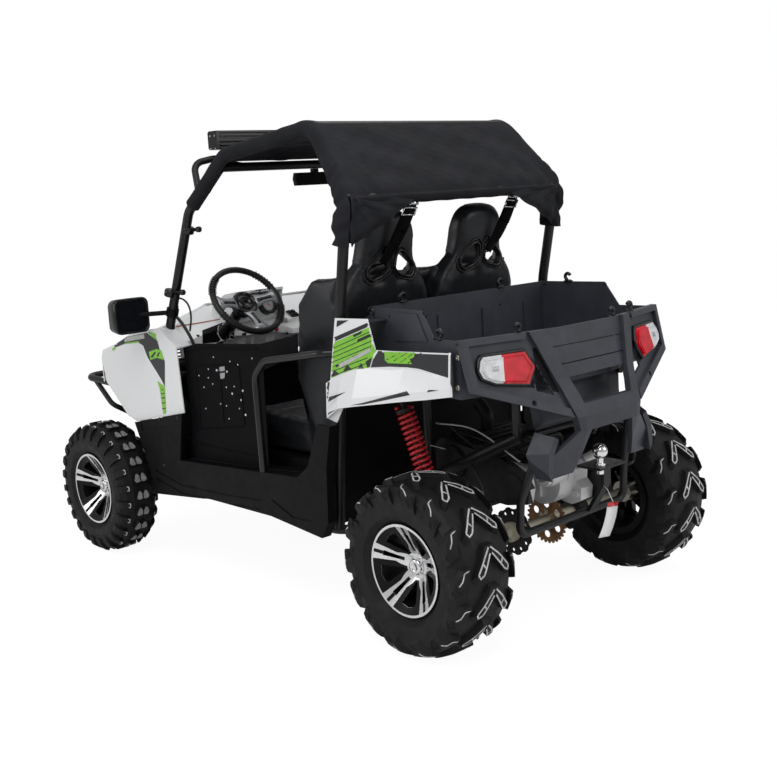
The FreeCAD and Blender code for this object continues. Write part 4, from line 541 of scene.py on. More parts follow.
def canopy():
    """One sheet: wrapped round the side tubes, spanned between them, turned under at the rear, with gussets."""
    front = at_height(PILLAR_TOP, ROOF_FRONT, 1.388)
    rear = at_height(POST_KNEE, ROOF_CORNER, 1.243)
    route = rounded_route([front, ROOF_FRONT, ROOF_PEAK, ROOF_CORNER, rear], 0.085, 8)
    rows, wrap, span, radius, bar_z = 138, 14, 46, 0.0265, 1.515
    shift = Vector((0, SHIFT, 0))
    line = [p + shift for p in resample(route, rows)]
    corner = ROOF_CORNER + shift
    first = min(range(rows // 3), key=lambda i: abs(line[i].z - bar_z))
    last = min(range(rows // 2, rows), key=lambda i: (line[i] - corner).length)
    phases = np.random.default_rng(7).uniform(0, 6.28, 24)
    normals = []
    for i in range(rows):
        tangent = (line[min(i + 1, rows - 1)] - line[max(i - 1, 0)]).normalized()
        normal = Vector((0, -tangent.z, tangent.y)).normalized()
        normals.append(-normal if normal.z < -0.2 or (i > last and normal.y < 0) else normal)

    def slack(i, t):
        """How far the sleeve's cloth stands off more than at the roof, in the rear sleeves."""
        if i <= last - 15:
            return 0.0
        s = i / rows
        fall = min(1, (i - last + 15) / (rows - last + 9))
        return 0.009 * fall + 0.0065 * fall * math.sin(s * 74 + t * 4) + 0.003 * math.sin(s * 163 + t * 9)

    def fold(u, v, seed):
        """Slow crease pattern from a few crossed waves."""
        return (math.sin(u * 17 + v * 9 + phases[seed]) * 0.5 + math.sin(u * 31 - v * 23 + phases[seed + 1]) * 0.3
                + math.sin(u * 61 + v * 41 + phases[seed + 2]) * 0.2)

    def wrapped(i, side, t):
        """Cloth round a side tube, from its outer side over the top."""
        low = -118 if (i < first or i > last) else -88
        angle = math.radians(low + (90 - low) * t)
        loose = radius + 0.0016 * fold(i / rows * 5, t + side, 0 if side > 0 else 4)
        loose += slack(i, t)
        point = Vector((side * line[i].x + side * loose * math.cos(angle), line[i].y, line[i].z))
        return point + normals[i] * (loose * math.sin(angle))

    def spanned(i, t):
        """Cloth between the side tubes, with sag, creases and puckers near the rear corner."""
        x, s = line[i].x * (1 - 2 * t), i / rows
        edge = 1 - abs(1 - 2 * t)
        height = radius
        if first <= i <= last:
            along = (i - first) / max(1, last - first)
            sag = -0.010 * math.sin(math.pi * min(1, along * 1.02)) * min(1, edge * 5)
            crease = 0.0044 * fold(s * 3.2, x * 2.2, 8) * min(1, edge * 6)
            crease += 0.0016 * fold(s * 9 + x * 5, x * 7 - s * 4, 12) * min(1, edge * 6)
            near = max(0.0, 1 - abs(i - last) / 26)
            pucker = 0.010 * near * math.sin(edge * 34 + s * 26 + x) * math.exp(-edge * 4)
            pucker += 0.005 * near * math.sin(edge * 60 + 2 - s * 40) * math.exp(-edge * 2.2)
            height += sag + crease + pucker
        return Vector((x, line[i].y, line[i].z)) + normals[i] * height

    columns = [(1, k / wrap) for k in range(wrap)] + [(0, k / span) for k in range(span + 1)]
    columns += [(-1, 1 - (k + 1) / wrap) for k in range(wrap)]
    total = len(columns)
    verts = [wrapped(i, side, t) if side else spanned(i, t) for i in range(rows) for side, t in columns]
    faces = []
    for i in range(rows - 1):
        for j in range(total - 1):
            if first <= i < last or columns[j][0] or columns[j + 1][0]:
                a = i * total + j
                faces.append((a, a + 1, a + total + 1, a + total))
    hem = [[last * total + wrap + j for j in range(span + 1)]]
    for k in range(1, 9):
        angle = math.radians(46 - 30 * k)
        hem.append([len(verts) + j for j in range(span + 1)])
        for t in (j / span for j in range(span + 1)):
            r = 0.0250 + 0.0012 * math.sin(t * 60)
            verts.append(Vector((line[last].x * (1 - 2 * t), corner.y + r * math.cos(angle), corner.z + r * math.sin(angle))))
    faces += woven(hem)
    # the inner half of each sleeve below the bars
    for side in (1, -1):
        for start, end in ((last - 1, rows - 1), (0, first + 1)):
            grid = []
            for i in range(start, end + 1):
                grid.append([len(verts) + k for k in range(9)])
                for k in range(9):
                    angle = math.radians(84 + 160 * k / 8)
                    loose = radius + slack(i, 1 + k / 4) - 0.0004
                    point = Vector((side * (line[i].x + loose * math.cos(angle)), line[i].y, line[i].z))
                    verts.append(point + normals[i] * (loose * math.sin(angle)))
            faces += woven(grid)
    # gussets: cloth stretched from the corner between a sleeve and a cross bar, with folds that fan out
    steps, across = 24, 14
    bars = ((last, rows - 1, 0.290, 6, 1.0, Vector((0, 1, 0))), (first, 4, 0.120, 2, 0.5, Vector((0, -0.6, 0.8))))
    for side in (1, -1):
        for start, end, reach, seed, deep, out in bars:
            here = line[start]
            patch = []
            for u in (a / steps for a in range(steps + 1)):
                station = int(round(start + (end - start) * u))
                down = line[station]
                loose = radius + slack(station, 1.5)
                inner = Vector((side * (down.x - loose * 0.30), down.y, down.z)) + normals[station] * (loose * 0.80)
                along = Vector((side * (here.x - 0.012 - reach * u), here.y, here.z)) + normals[start] * (radius * 0.9)
                patch.append([len(verts) + c for c in range(across + 1)])
                for v in (c / across for c in range(across + 1)):
                    swell = (0.010 + 0.014 * u) * math.sin(math.pi * v)
                    folds = 0.0085 * u * math.sin(v * 19 + u * 5 + phases[seed])
                    folds += 0.0045 * math.sin(v * 41 - u * 6 + phases[seed + 1])
                    verts.append(inner.lerp(along, v) + out * (deep * (swell + folds * min(1, v * 5))))
            faces += woven(patch)
    cloth = new_object("canopy_cloth", verts, faces, "canopy", slot="canopy_fabric", thick=0.0016)
    bm = bmesh.new()
    bm.from_mesh(cloth.data)
    bmesh.ops.delete(bm, geom=[v for v in bm.verts if not v.link_faces], context="VERTS")
    bmesh.ops.recalc_face_normals(bm, faces=bm.faces[:])
    area = sum(f.calc_area() for f in bm.faces)
    bm.to_mesh(cloth.data)
    bm.free()
    smooth = cloth.modifiers.new("smooth", "SUBSURF")
    smooth.levels = smooth.render_levels = 1
    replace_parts(cloth, "canopy")
    width, length = 1.16, sum((b - a).length for a, b in zip(line, line[1:]))


canopy()


# Faces of CAD nodes that take more than one material

def faces_of(name):
    mesh = NODES[name].data
    count = len(mesh.polygons)
    centre = np.empty(count * 3, np.float32)
    normal = np.empty(count * 3, np.float32)
    mesh.polygons.foreach_get("center", centre)
    mesh.polygons.foreach_get("normal", normal)
    return centre.reshape(-1, 3), normal.reshape(-1, 3)


def paint(name, keys, index):
    mesh = NODES[name].data
    mesh.materials.clear()
    for key in keys:
        mesh.materials.append(MAT[key])
    mesh.polygons.foreach_set("material_index", np.asarray(index).astype(np.int32))
    mesh.update()


TREES = {}


def tree_of(*names):
    """Search tree over the surfaces of some CAD nodes or pieces."""
    if names not in TREES:
        verts, faces = [], []
        for name in names:
            made = NODES[name] if name in NODES else bpy.data.objects[name]
            base = len(verts)
            verts += [v.co.copy() for v in made.data.vertices]
            faces += [tuple(base + i for i in p.vertices) for p in made.data.polygons]
        TREES[names] = BVHTree.FromPolygons(verts, faces)
    return TREES[names]


# Side, the axle's y and z, and the body that carries the wheel
WHEELS = {
    "front_left": (1, -0.863, 0.2665, "wheel_front_left"),
    "front_right": (-1, -0.863, 0.2665, "wheel_front_right"),
    "rear_left": (1, 0.933, 0.2795, "rear_axle"),
    "rear_right": (-1, 0.933, 0.2795, "rear_axle"),
}


def dress_rims():
    for key, (s, y, z, _) in WHEELS.items():
        name = "rim_" + key
        centre, normal = faces_of(name)
        low, high = box_of(name)
        lip = max(abs(low[0]), abs(high[0]))
        outward = s * normal[:, 0]
        depth = lip - s * centre[:, 0]
        radius = np.hypot(centre[:, 1] - y, centre[:, 2] - z)
        flange = (depth < 0.004) & (outward > 0.6)
        face = (outward > 0.70) & (depth > 0.004) & (depth < 0.075)
        paint(name, ("rim_dark", "rim_face"), (flange | face) & (radius > 0.006))


BOXES = {}


def box_of(name):
    if name not in BOXES:
        BOXES[name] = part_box(name)
    return BOXES[name]


def wheel_middle(key):
    s, y, z, body = WHEELS[key]
    low, high = box_of("tyre_" + key)
    middle = s * (abs(low[0]) + abs(high[0])) / 2
    return middle, y, z, body, s, abs(high[0] - low[0]) / 2


def tread_line(key, points, wide, start_radius, lift=0.0005, closed=False):
    """A flat line on a tyre through points of distance across and degrees round, laid on its surface."""
    middle, y, z, body, s, half = wheel_middle(key)
    tree = tree_of("tyre_" + key)
    fine = []
    ring = list(points) + ([points[0]] if closed else [])
    for (xa, ta), (xb, tb) in zip(ring, ring[1:]):
        length = math.hypot(xb - xa, (tb - ta) / 57.3 * start_radius)
        steps = max(1, int(length / 0.007))
        fine += [(xa + (xb - xa) * k / steps, ta + (tb - ta) * k / steps) for k in range(steps)]
    fine.append(ring[-1])
    seats = []
    for across, turn in fine:
        a = math.radians(turn)
        out = Vector((0, math.sin(a), math.cos(a)))
        axle = Vector((middle + across * s, y, z))
        hit, normal, _, _ = tree.ray_cast(axle + out * (start_radius + 0.05), -out)
        if hit is None:
            seats.append(None)
            continue
        if normal.dot(out) < 0:
            normal = -normal
        seats.append((hit + normal * lift, normal))
    verts, faces = [], []
    previous = None
    for i, seat in enumerate(seats):
        if seat is None:
            previous = None
            continue
        near = [seats[j] for j in (i - 1, i + 1) if 0 <= j < len(seats) and seats[j]]
        if not near:
            previous = None
            continue
        if len(near) == 2:
            way = near[1][0] - near[0][0]
        else:
            way = (near[0][0] - seat[0]) if i == 0 or seats[i - 1] is None else (seat[0] - near[0][0])
        if way.length < 1e-6:
            continue
        side = way.normalized().cross(seat[1])
        if side.length < 1e-6:
            continue
        side = side.normalized() * (wide / 2)
        base = len(verts)
        verts += [seat[0] - side, seat[0] + side]
        if previous is not None and (seat[0] - previous[1]).length < 0.02:
            faces.append((previous[0], previous[0] + 1, base + 1, base))
        previous = (base, seat[0])
    return verts, faces


def dress_rear_tyre(key):
    """Pale lines of painted highlight along the edges of the chevrons and shoulder bars, and the pressed squares on the
    shoulder.
    """
    middle, y, z, body, s, half = wheel_middle(key)
    radius = 0.2795
    lines, marks = [], []
    per = 57.2958 / radius
    for k in range(14):
        turn = 180 + 360 / 14 * k
        for side in (1, -1):
            leg = [(0.002, -0.044), (0.020, -0.044), (half * 0.54, 0.030), (half * 0.49, 0.044),
                   (half * 0.36, 0.036), (0.002, -0.022)]
            leg = scaled(leg, 0.92, 0.92)
            outer = [(0.004, -0.040), (0.030, -0.014), leg[2]]
            inner = [(0.004, -0.022), leg[4]]
            tick = [(0.041, 0.0), (0.033, 0.014)]
            for pts in (outer, inner, [leg[2], leg[3], leg[4]], tick):
                lines.append(tread_line(key, [(side * x, turn + u * per) for x, u in pts], 0.0050, radius))
            bar = [(half * 0.69, -0.034), (half * 0.85, -0.026), (half * 0.97, 0.020), (half * 0.97, 0.044),
                   (half * 0.88, 0.044)]
            bar = scaled(bar, 0.86, 0.86)
            for a, b in ((0, 1), (1, 2)):
                pts = [bar[a], bar[b]]
                lines.append(tread_line(key, [(side * x, turn + 7 + u * per) for x, u in pts], 0.0036, radius))
    # Painted highlight: pale strips along the tread edges.
    new_object("tyre_lines_" + key, *join_parts(lines), "edge", body, thick=0.0008)
    for k in range(14):
        turn = 180 + 360 / 14 * (k + 0.62)
        for side in (1, -1):
            for size in (0.017, 0.009):
                ring = [(0, -size), (size, 0), (0, size), (-size, 0)]
                marks.append(side_mark(key, side, radius * 0.845, turn, ring))
    new_object("tyre_marks_" + key, *join_parts(marks), "tyre", body, thick=0.0016)


def side_mark(key, side, ring_radius, turn, ring, wide=0.0022):
    """A small pressed outline on a tyre's side wall, in distance round and outwards from a middle point."""
    middle, y, z, body, s, half = wheel_middle(key)
    tree = tree_of("tyre_" + key)
    verts, faces = [], []
    points = []
    closed = ring + [ring[0]]
    for (ua, va), (ub, vb) in zip(closed, closed[1:]):
        for k in range(4):
            points.append((ua + (ub - ua) * k / 4, va + (vb - va) * k / 4))
    seats = []
    for u, v in points:
        a = math.radians(turn) + u / ring_radius
        r = ring_radius + v
        start = Vector((middle + side * (half + 0.05), y + r * math.sin(a), z + r * math.cos(a)))
        hit, normal, _, _ = tree.ray_cast(start, Vector((-side, 0, 0)))
        if hit is None:
            return verts, faces
        if normal.x * side < 0:
            normal = -normal
        seats.append((hit + normal * 0.0006, normal))
    count = len(seats)
    for i, (at, normal) in enumerate(seats):
        way = seats[(i + 1) % count][0] - seats[i - 1][0]
        across = way.normalized().cross(normal).normalized() * (wide / 2)
        verts += [at - across, at + across]
        n = (i + 1) % count
        faces.append((2 * i, 2 * i + 1, 2 * n + 1, 2 * n))
    return verts, faces


def dress_front_tyre(key):
    """Painted highlights: pale tops on the centre blocks, and pale lines along the shoulder bars."""
    middle, y, z, body, s, half = wheel_middle(key)
    radius = 0.2665
    centre, normal = faces_of("tyre_" + key)
    distance = np.hypot(centre[:, 1] - y, centre[:, 2] - z)
    outward = (normal[:, 1] * (centre[:, 1] - y) + normal[:, 2] * (centre[:, 2] - z)) / np.maximum(distance, 1e-6)
    # Painted highlight: the outermost faces of the centre blocks take the paler rubber where light falls on them.
    top = (distance > radius - 0.0045) & (outward > 0.9) & (np.abs(centre[:, 0] - middle) < 0.032)
    paint("tyre_" + key, ("tyre", "rubber_highlight"), top)
    per = 57.2958 / radius
    lines = []
    for k in range(24):
        turn = 180 + 15 * k + 7.5
        for side in (1, -1):
            bar = [(half * 0.63, -0.009), (half * 0.63, 0.008)]
            ticks = [[(half * 0.63, u), (half * 0.63 + 0.006, u)] for u in (-0.009, 0.008)]
            for pts in [bar] + ticks:
                lines.append(tread_line(key, [(side * x, turn + v * per) for x, v in pts], 0.0030, radius))
    # Painted highlight: pale strips along the shoulder bars.
    new_object("tyre_lines_" + key, *join_parts(lines), "edge", body, thick=0.0006)


dress_rims()
for key in ("rear_left", "rear_right"):
    dress_rear_tyre(key)
for key in ("front_left", "front_right"):
    dress_front_tyre(key)


# Placing by the photograph's frame

EYE = scene.camera.matrix_world.translation.copy()
RIGHT, ABOVE, AWAY = (column.normalized() for column in scene.camera.matrix_world.to_3x3().col)
BELOW, FORWARD = -ABOVE, -AWAY


def sight(px, py):
    """Direction from the camera through a point of the photograph's frame."""
    return (FORWARD + RIGHT * ((px - MIDDLE_X) / FOCAL) + BELOW * ((py - MIDDLE_Y) / FOCAL)).normalized()


def seen(px, py, *names):
    """Where that line first meets some pieces, and which way the surface faces there."""
    hit, normal, _, _ = tree_of(*names).ray_cast(EYE, sight(px, py))
    if hit is None:
        return None, None
    if normal.dot(sight(px, py)) > 0:
        normal = -normal
    return hit, normal


def on_plane(px, py, axis, value):
    """Where that line crosses the plane of one coordinate."""
    way = sight(px, py)
    return EYE + way * ((value - EYE[axis]) / way[axis])


def fine_outline(outlines, step):
    """Flat outlines cut into small triangles."""
    bm = bmesh.new()
    for outline in outlines:
        bm.faces.new([bm.verts.new((x, y, 0)) for x, y in outline])
    bmesh.ops.triangulate(bm, faces=bm.faces[:])
    for _ in range(7):
        long = [e for e in bm.edges if e.calc_length() > step]
        if not long:
            break
        bmesh.ops.subdivide_edges(bm, edges=long, cuts=1)
        bmesh.ops.triangulate(bm, faces=bm.faces[:])
    verts = [v.co.copy() for v in bm.verts]
    bm.verts.index_update()
    faces = [tuple(v.index for v in f.verts) for f in bm.faces]
    bm.free()
    return verts, faces


def crop(scale, left, top):
    """Reads points that were measured in an enlarged crop of the photograph."""
    return lambda points: [(left + x / scale, top + y / scale) for x, y in points]


def sticker(name, nodes, outlines, material, lift=0.0008, body="chassis", twin=True, step=3.0):
    """Thin film with outlines in the photograph's frame, laid on a surface, and its twin on the other side."""
    flat, faces = fine_outline(outlines, step)
    verts, keep = [], []
    for p in flat:
        hit, normal = seen(p.x, p.y, *nodes)
        keep.append(hit is not None)
        verts.append(hit + normal * lift if hit is not None else Vector((0, 0, 0)))
    faces = [f for f in faces if all(keep[i] for i in f)]
    spread = [max((verts[a] - verts[b]).length for a, b in zip(f, f[1:] + f[:1])) for f in faces]
    faces = [f for f, size in zip(faces, spread) if size < 0.05]
    if not faces:
        return None
    used = sorted({i for f in faces for i in f})
    place = {i: k for k, i in enumerate(used)}
    verts = [verts[i] for i in used]
    faces = [tuple(place[i] for i in f) for f in faces]
    made = new_object(name, verts, faces, material, body, smooth=False)
    if twin:
        verts, faces = flipped(verts, faces)
        new_object(name + "_r", verts, faces, material, body, smooth=False)
    return made


# Graphics of the side panels: bands, hatching and chips, without words

def panel_graphics():
    at = crop(6.533, 312, 308)
    nodes = ("rear_panel_left",)
    field = [(442, 268), (462, 290), (905, 307), (900, 460), (800, 428), (700, 397), (620, 387), (500, 383), (385, 388),
             (398, 340)]
    sticker("panel_field", nodes, [at(field)], "decal_grey")
    black = [[(164, 82), (240, 80), (160, 126)], [(144, 192), (390, 84), (402, 86), (408, 104), (132, 226)],
             [(112, 582), (220, 549), (107, 614)], [(92, 690), (160, 662), (86, 710)],
             [(250, 636), (330, 620), (620, 543), (640, 568), (460, 606), (340, 630)],
             [(762, 536), (830, 538), (750, 550)],
             [(90, 495), (118, 472), (112, 520), (100, 620), (78, 664), (60, 690), (34, 702), (48, 640), (70, 560)]]
    sticker("panel_bands", nodes, [at(p) for p in black], "decal_black")
    green = [(130, 232), (408, 110), (440, 262), (402, 300), (396, 336), (372, 390), (270, 402), (190, 430), (128, 458),
             (92, 492), (104, 340)]
    sticker("panel_green", nodes, [at(green)], "green")
    patch = [(474, 286), (672, 291), (668, 320), (640, 334), (654, 366), (500, 360), (478, 342)]
    sticker("panel_patch", nodes, [at(patch)], "green", lift=0.0014)
    sticker("panel_spot", nodes, [at([(52, 610), (64, 616), (58, 650), (46, 642)])], "green", lift=0.0014)
    lines = []
    for k in range(7):
        y = 268 + k * 31
        lines.append([(124 - k * 4, y), (424 - k * 12, y - 136 + k * 7), (426 - k * 12, y - 131 + k * 7),
                      (123 - k * 4, y + 5)])
    for k in range(4):
        x = 486 + k * 46
        lines.append([(x, 336 + k * 8), (x + 88, 292), (x + 96, 292), (x + 8, 340 + k * 8)])
    chips = [[(268, 176), (330, 148), (322, 168), (276, 190)], [(300, 205), (390, 164), (384, 184), (296, 224)],
             [(160, 372), (250, 326), (246, 342), (156, 390)], [(262, 318), (384, 262), (380, 278), (258, 336)],
             [(206, 412), (232, 368), (262, 402)], [(120, 455), (148, 404), (180, 432)],
             [(300, 398), (322, 358), (340, 396)],
             [(352, 350), (392, 322), (380, 384), (362, 388)]]
    sticker("panel_hatch", nodes, [at(p) for p in lines + chips], "decal_black", lift=0.0014)
    pale = [(176, 366), (380, 262), (392, 282), (186, 392)]
    sticker("panel_bar", nodes, [at(pale)], "pale_film", lift=0.0018)


def fender_graphics():
    at = crop(9.8, 100, 322)
    nodes = ("front_fender_left",)
    dark = [(148, 205), (228, 152), (460, 104), (522, 155), (562, 182), (586, 270), (636, 382), (637, 632), (600, 560),
            (545, 470), (470, 350), (425, 232), (380, 202), (240, 216), (140, 252)]
    sticker("fender_field", nodes, [at(dark)], "decal_grey")
    green = [[(468, 94), (545, 114), (556, 176), (520, 150)],
             [(480, 292), (560, 262), (602, 280), (628, 372), (560, 350), (498, 372)],
             [(566, 580), (636, 632), (650, 892), (622, 900), (588, 660)], [(122, 262), (150, 236), (156, 262), (126, 284)],
             [(240, 206), (382, 186), (390, 200), (250, 214)]]
    sticker("fender_green", nodes, [at(p) for p in green], "green", lift=0.0014)
    sticker("fender_bar", nodes, [at([(236, 152), (434, 118), (440, 160), (246, 196)])], "pale_film", lift=0.0014)
    marks = [[(500, 340), (540, 290), (552, 300), (516, 352)], [(560, 330), (580, 292), (590, 300), (574, 340)],
             [(600, 700), (638, 694), (638, 702), (602, 708)], [(606, 740), (640, 734), (640, 746), (607, 752)],
             [(610, 790), (644, 784), (644, 794), (611, 800)], [(612, 845), (646, 840), (646, 850), (614, 856)],
             [(604, 660), (626, 656), (626, 662), (606, 666)]]
    sticker("fender_hatch", nodes, [at(p) for p in marks], "decal_black", lift=0.002)


# Small fasteners

def bolts(name, spots, nodes, material, radius=0.0075, height=0.004, twin=True, body="chassis"):
    parts = []
    for px, py in spots:
        hit, normal = seen(px, py, *nodes)
        if hit is None:
            continue
        part = dome(hit, normal, radius, height)
        parts.append(part)
        if twin:
            parts.append(flipped(*part))
    if parts:
        new_object(name, *join_parts(parts), material, body)


panel_graphics()
fender_graphics()
bolts("tail_bolts", [(458, 358), (458, 388)], ("rear_fascia", "cargo_bed", "rear_panel_left"), "steel", 0.009, 0.005)


# Tail lamps, running gear and other nodes with more than one finish

def lamp_film():
    """Lens plastic that is clear towards the vehicle's side and red towards its middle."""
    lens = Paint("lens_tail", (0.60, 0.012, 0.035), 0.16, 0, {"Specular IOR Level": 0.3})
    tree = lens.tree

    def math_node(operation, *sources):
        node = tree.nodes.new("ShaderNodeMath")
        node.operation = operation
        for k, source in enumerate(sources):
            if isinstance(source, float):
                node.inputs[k].default_value = source
            else:
                tree.links.new(source, node.inputs[k])
        return node.outputs[0]

    split = tree.nodes.new("ShaderNodeSeparateXYZ")
    tree.links.new(lens.place, split.inputs[0])
    out = math_node("ADD", math_node("ABSOLUTE", split.outputs[0]), math_node("MULTIPLY", split.outputs[2], 0.18))
    border = 0.527
    red = lens.ramp(lens.noise(26, 3), ((0.3, (0.45, 0.004, 0.012)), (0.7, (0.78, 0.010, 0.030))))
    clear = lens.ramp(lens.noise(60, 3), ((0.3, (0.62, 0.63, 0.64)), (0.7, (0.82, 0.83, 0.84))))
    mix = tree.nodes.new("ShaderNodeMix")
    mix.data_type = "RGBA"
    for source, target in ((math_node("GREATER_THAN", out, border), 0), (red, 6), (clear, 7)):
        tree.links.new(source, mix.inputs[target])
    tree.links.new(mix.outputs[2], lens.shader.inputs["Base Color"])
    lens.grain(300, 0.15, 0.0008)
    MAT["lens_tail"] = lens.material


LAMP_FACE = [(446, 874), (436, 900), (424, 912), (282, 912), (258, 864), (290, 818), (400, 834), (438, 852)]


def surface_ring(points, nodes, lift):
    """Closed loop of points (x, z) in metres, carried from behind onto the tail's surface."""
    tree = tree_of(*nodes)
    ring = []
    count = len(points)
    for i in range(count):
        a, b = points[i], points[(i + 1) % count]
        steps = max(2, int(math.dist(a, b) / 0.008))
        for k in range(steps):
            x = a[0] + (b[0] - a[0]) * k / steps
            z = a[1] + (b[1] - a[1]) * k / steps
            hit, normal, _, _ = tree.ray_cast(Vector((x, 1.6, z)), Vector((0, -1, 0)))
            if hit is not None and hit.y > 0.9:
                ring.append(hit + Vector((0, lift, 0)))
    return ring


def dress_tail():
    """Bezel and rib of the lamps, the liner behind the tail's window, a black film of painted shade for the pocket, and
    the seams.
    """
    lamp_film()
    coat("tail_lights", "lens_tail")
    for name, node, wide, high, lift, radius, squash, key, slot in (
            ("lamp_bezel", "rear_fascia", 1.035, 1.07, 0.004, 0.0055, 1.5, "gloss_black", None),
            ("lamp_rib", "tail_lights", 0.86, 0.80, 0.0005, 0.0016, 1.0, "lens_tail", "lamp_red")):
        outline = [(x / 1000, z / 1000) for x, z in scaled(LAMP_FACE, wide, high)]
        bead = closed_tube(surface_ring(outline, (node,), lift), radius, squash=squash)
        new_object(name, *both_sides([bead]), key, slot=slot)
    (xa, ya, za), (xb, yb, zb) = (0.235, 1.085, 0.80), (0.215, 1.120, 0.655)
    verts, faces, count = [], [], 8
    for k in range(count + 1):
        t = k / count
        dip = Vector((0, 0.012 * math.sin(math.pi * t), 0))
        left = Vector((xa, ya, za)).lerp(Vector((xb, yb, zb)), t) + dip
        right = Vector((-xa, ya, za)).lerp(Vector((-xb, yb, zb)), t) + dip
        verts += [left.lerp(right, j / count) for j in range(count + 1)]
        if k:
            faces += [(b - count - 1, b - count, b + 1, b) for b in range(k * (count + 1), k * (count + 1) + count)]
    new_object("tail_liner", verts, faces, "grey", slot="panel_grey", thick=0.003)
    at = crop(4.1, 440, 290)
    # Painted shade: a flat black film where the fascia's pocket lies in shadow, in place of a recess.
    pocket = [(378, 240), (394, 236), (440, 318), (488, 420), (420, 408), (356, 396), (392, 318)]
    sticker("tail_pocket_shade", ("rear_fascia",), [at(pocket)], "tub", lift=0.0012)
    seams = [[(452, 234), (600, 206), (738, 178), (738, 181), (600, 209), (452, 237)],
             [(498, 303), (620, 276), (752, 245), (752, 248), (620, 279), (498, 306)]]
    sticker("tail_seams", ("rear_fascia",), [at(p) for p in seams], "tub", twin=False, step=6)
    bits = [[(216, 316), (222, 315), (222, 322), (216, 323)], [(225, 314), (232, 313), (232, 321), (225, 322)],
            [(214, 327), (242, 322), (242, 332), (216, 337)], [(236, 312), (241, 311), (241, 318), (236, 319)]]
    sticker("lamp_bits", ("tail_lights",), [at(p) for p in bits], "silver")


def mirror_shells():
    """Rounded housing over each side mirror, with its lip and glass."""
    sides = 32

    def outline(half_x, half_z, y, r=0.027):
        points = []
        for k in range(sides):
            a = 2 * math.pi * k / sides
            cx = math.copysign(half_x - r, math.cos(a)) if abs(math.cos(a)) > 1e-6 else 0
            cz = math.copysign(half_z - r, math.sin(a)) if abs(math.sin(a)) > 1e-6 else 0
            points.append(Vector((0.636 + cx + r * math.cos(a), y + SHIFT, 0.990 + cz + r * math.sin(a))))
        return points

    rings = ((0.030, 0.030, -0.588, 0.02), (0.048, 0.046, -0.586), (0.0685, 0.0625, -0.561), (0.0722, 0.0672, -0.521),
             (0.0722, 0.0672, -0.505), (0.0700, 0.0650, -0.5025), (0.0655, 0.0605, -0.5035), (0.0645, 0.0595, -0.5065))
    shell = [p for ring in rings for p in outline(*ring)], [tuple(range(sides))] + ring_faces(len(rings), sides)
    new_object("mirror_shell", *both_sides([shell]), "gloss_black")
    bulge = [p + Vector((0, 0.0004, 0)) for p in outline(0.0320, 0.0290, -0.5062, 0.013)]
    face = outline(0.0640, 0.0590, -0.5062) + bulge, ring_faces(2, sides) + [tuple(range(sides, 2 * sides))]
    new_object("mirror_face", *both_sides([face]), "dark_glass")


def make_springs():
    """Close-wound coils round the dampers, run up to their seats, in place of the open coils of the solids."""
    co = np.array([v.co for v in NODES["springs"].data.vertices])
    pitch, coil, wire, margin, rise, steps = 0.0165, 0.0262, 0.0054, 0.006, 0.026, 20
    parts = []
    for sx, sy in ((1, 1), (1, -1), (-1, 1), (-1, -1)):
        some = co[(co[:, 0] * sx > 0) & (co[:, 1] * sy > 0)]
        middle = some.mean(axis=0)
        way = np.linalg.svd(some - middle, full_matrices=False)[2][0]
        along = (some - middle) @ way
        low, high = along.min() + margin, along.max() - margin
        if way[2] > 0:
            high += rise
        else:
            low -= rise
        a = np.cross(way, (0, 1.0, 0))
        a /= np.linalg.norm(a)
        b = np.cross(way, a)
        turns = max(8, round((high - low) / pitch))
        line = []
        for k in range(turns * steps + 1):
            t = k / (turns * steps)
            angle = 2 * math.pi * turns * t
            out = (a * math.cos(angle) + b * math.sin(angle)) * coil
            line.append(Vector(middle + way * (low + (high - low) * t) + out))
        parts.append(tube_mesh([line], wire, 8))
    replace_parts(new_object("spring_coils", *join_parts(parts), "red", slot="spring_red"), "springs")


def dress_gear():
    """Engine, axle, hitch and lamps: each face takes the finish of what it is part of."""
    for name in ("rear_panel_left", "rear_panel_right"):
        centre, normal = faces_of(name)
        paint(name, ("white", "grey"), np.abs(centre[:, 0]) < 0.500)
    centre, normal = faces_of("engine")
    gear = (centre[:, 1] > 1.018) & (centre[:, 2] < 0.53) & (np.abs(centre[:, 0]) < 0.16)
    starter = (centre[:, 1] > 0.93) & (centre[:, 2] < 0.52) & (centre[:, 0] > 0.0) & (centre[:, 0] < 0.12)
    paint("engine", ("alloy_dark", "alloy"), gear | starter)
    centre, normal = faces_of("rear_axle")
    radius = np.hypot(centre[:, 1] - 0.933, centre[:, 2] - 0.2795)
    x = centre[:, 0]
    index = np.zeros(len(x), int)
    index[(x < -0.045) & (x > -0.060) & (radius > 0.026)] = 1
    index[(x > 0.112) & (x < 0.128) & (radius > 0.026)] = 2
    index[np.abs(x) > 0.36] = 3
    paint("rear_axle", ("cream", "rusty", "alloy_dark", "steel"), index)
    centre, normal = faces_of("rear_guard")
    ball = np.array((0.0, 1.203, 0.560))
    near = np.linalg.norm(centre - ball, axis=1) < 0.032
    stem = (np.hypot(centre[:, 0], centre[:, 1] - 1.203) < 0.022) & (centre[:, 2] > 0.48)
    paint("rear_guard", ("frame", "chrome"), near | stem)
    centre, normal = faces_of("light_bar")
    glass = (normal[:, 1] < -0.95) & (np.abs(centre[:, 0]) < 0.362) & (centre[:, 1] > -0.255)
    paint("light_bar", ("gloss_black", "lens_white"), glass)
    centre, normal = faces_of("mirrors")
    inner = (normal[:, 1] > 0.9) & (np.abs(centre[:, 0]) > 0.57) & (centre[:, 1] < -0.465) & (centre[:, 1] > -0.476)
    paint("mirrors", ("tub", "dark_glass"), inner)


# Hooks on the bed's rim, and the blank tag on the guard

def ribbon(points, wide, across):
    """Flat strip along points, as wide along one direction everywhere."""
    verts, faces = [], []
    half = Vector(across).normalized() * (wide / 2)
    for i, p in enumerate(points):
        verts += [Vector(p) - half, Vector(p) + half]
        if i:
            b = 2 * i
            faces.append((b - 2, b - 1, b + 1, b))
    return verts, faces


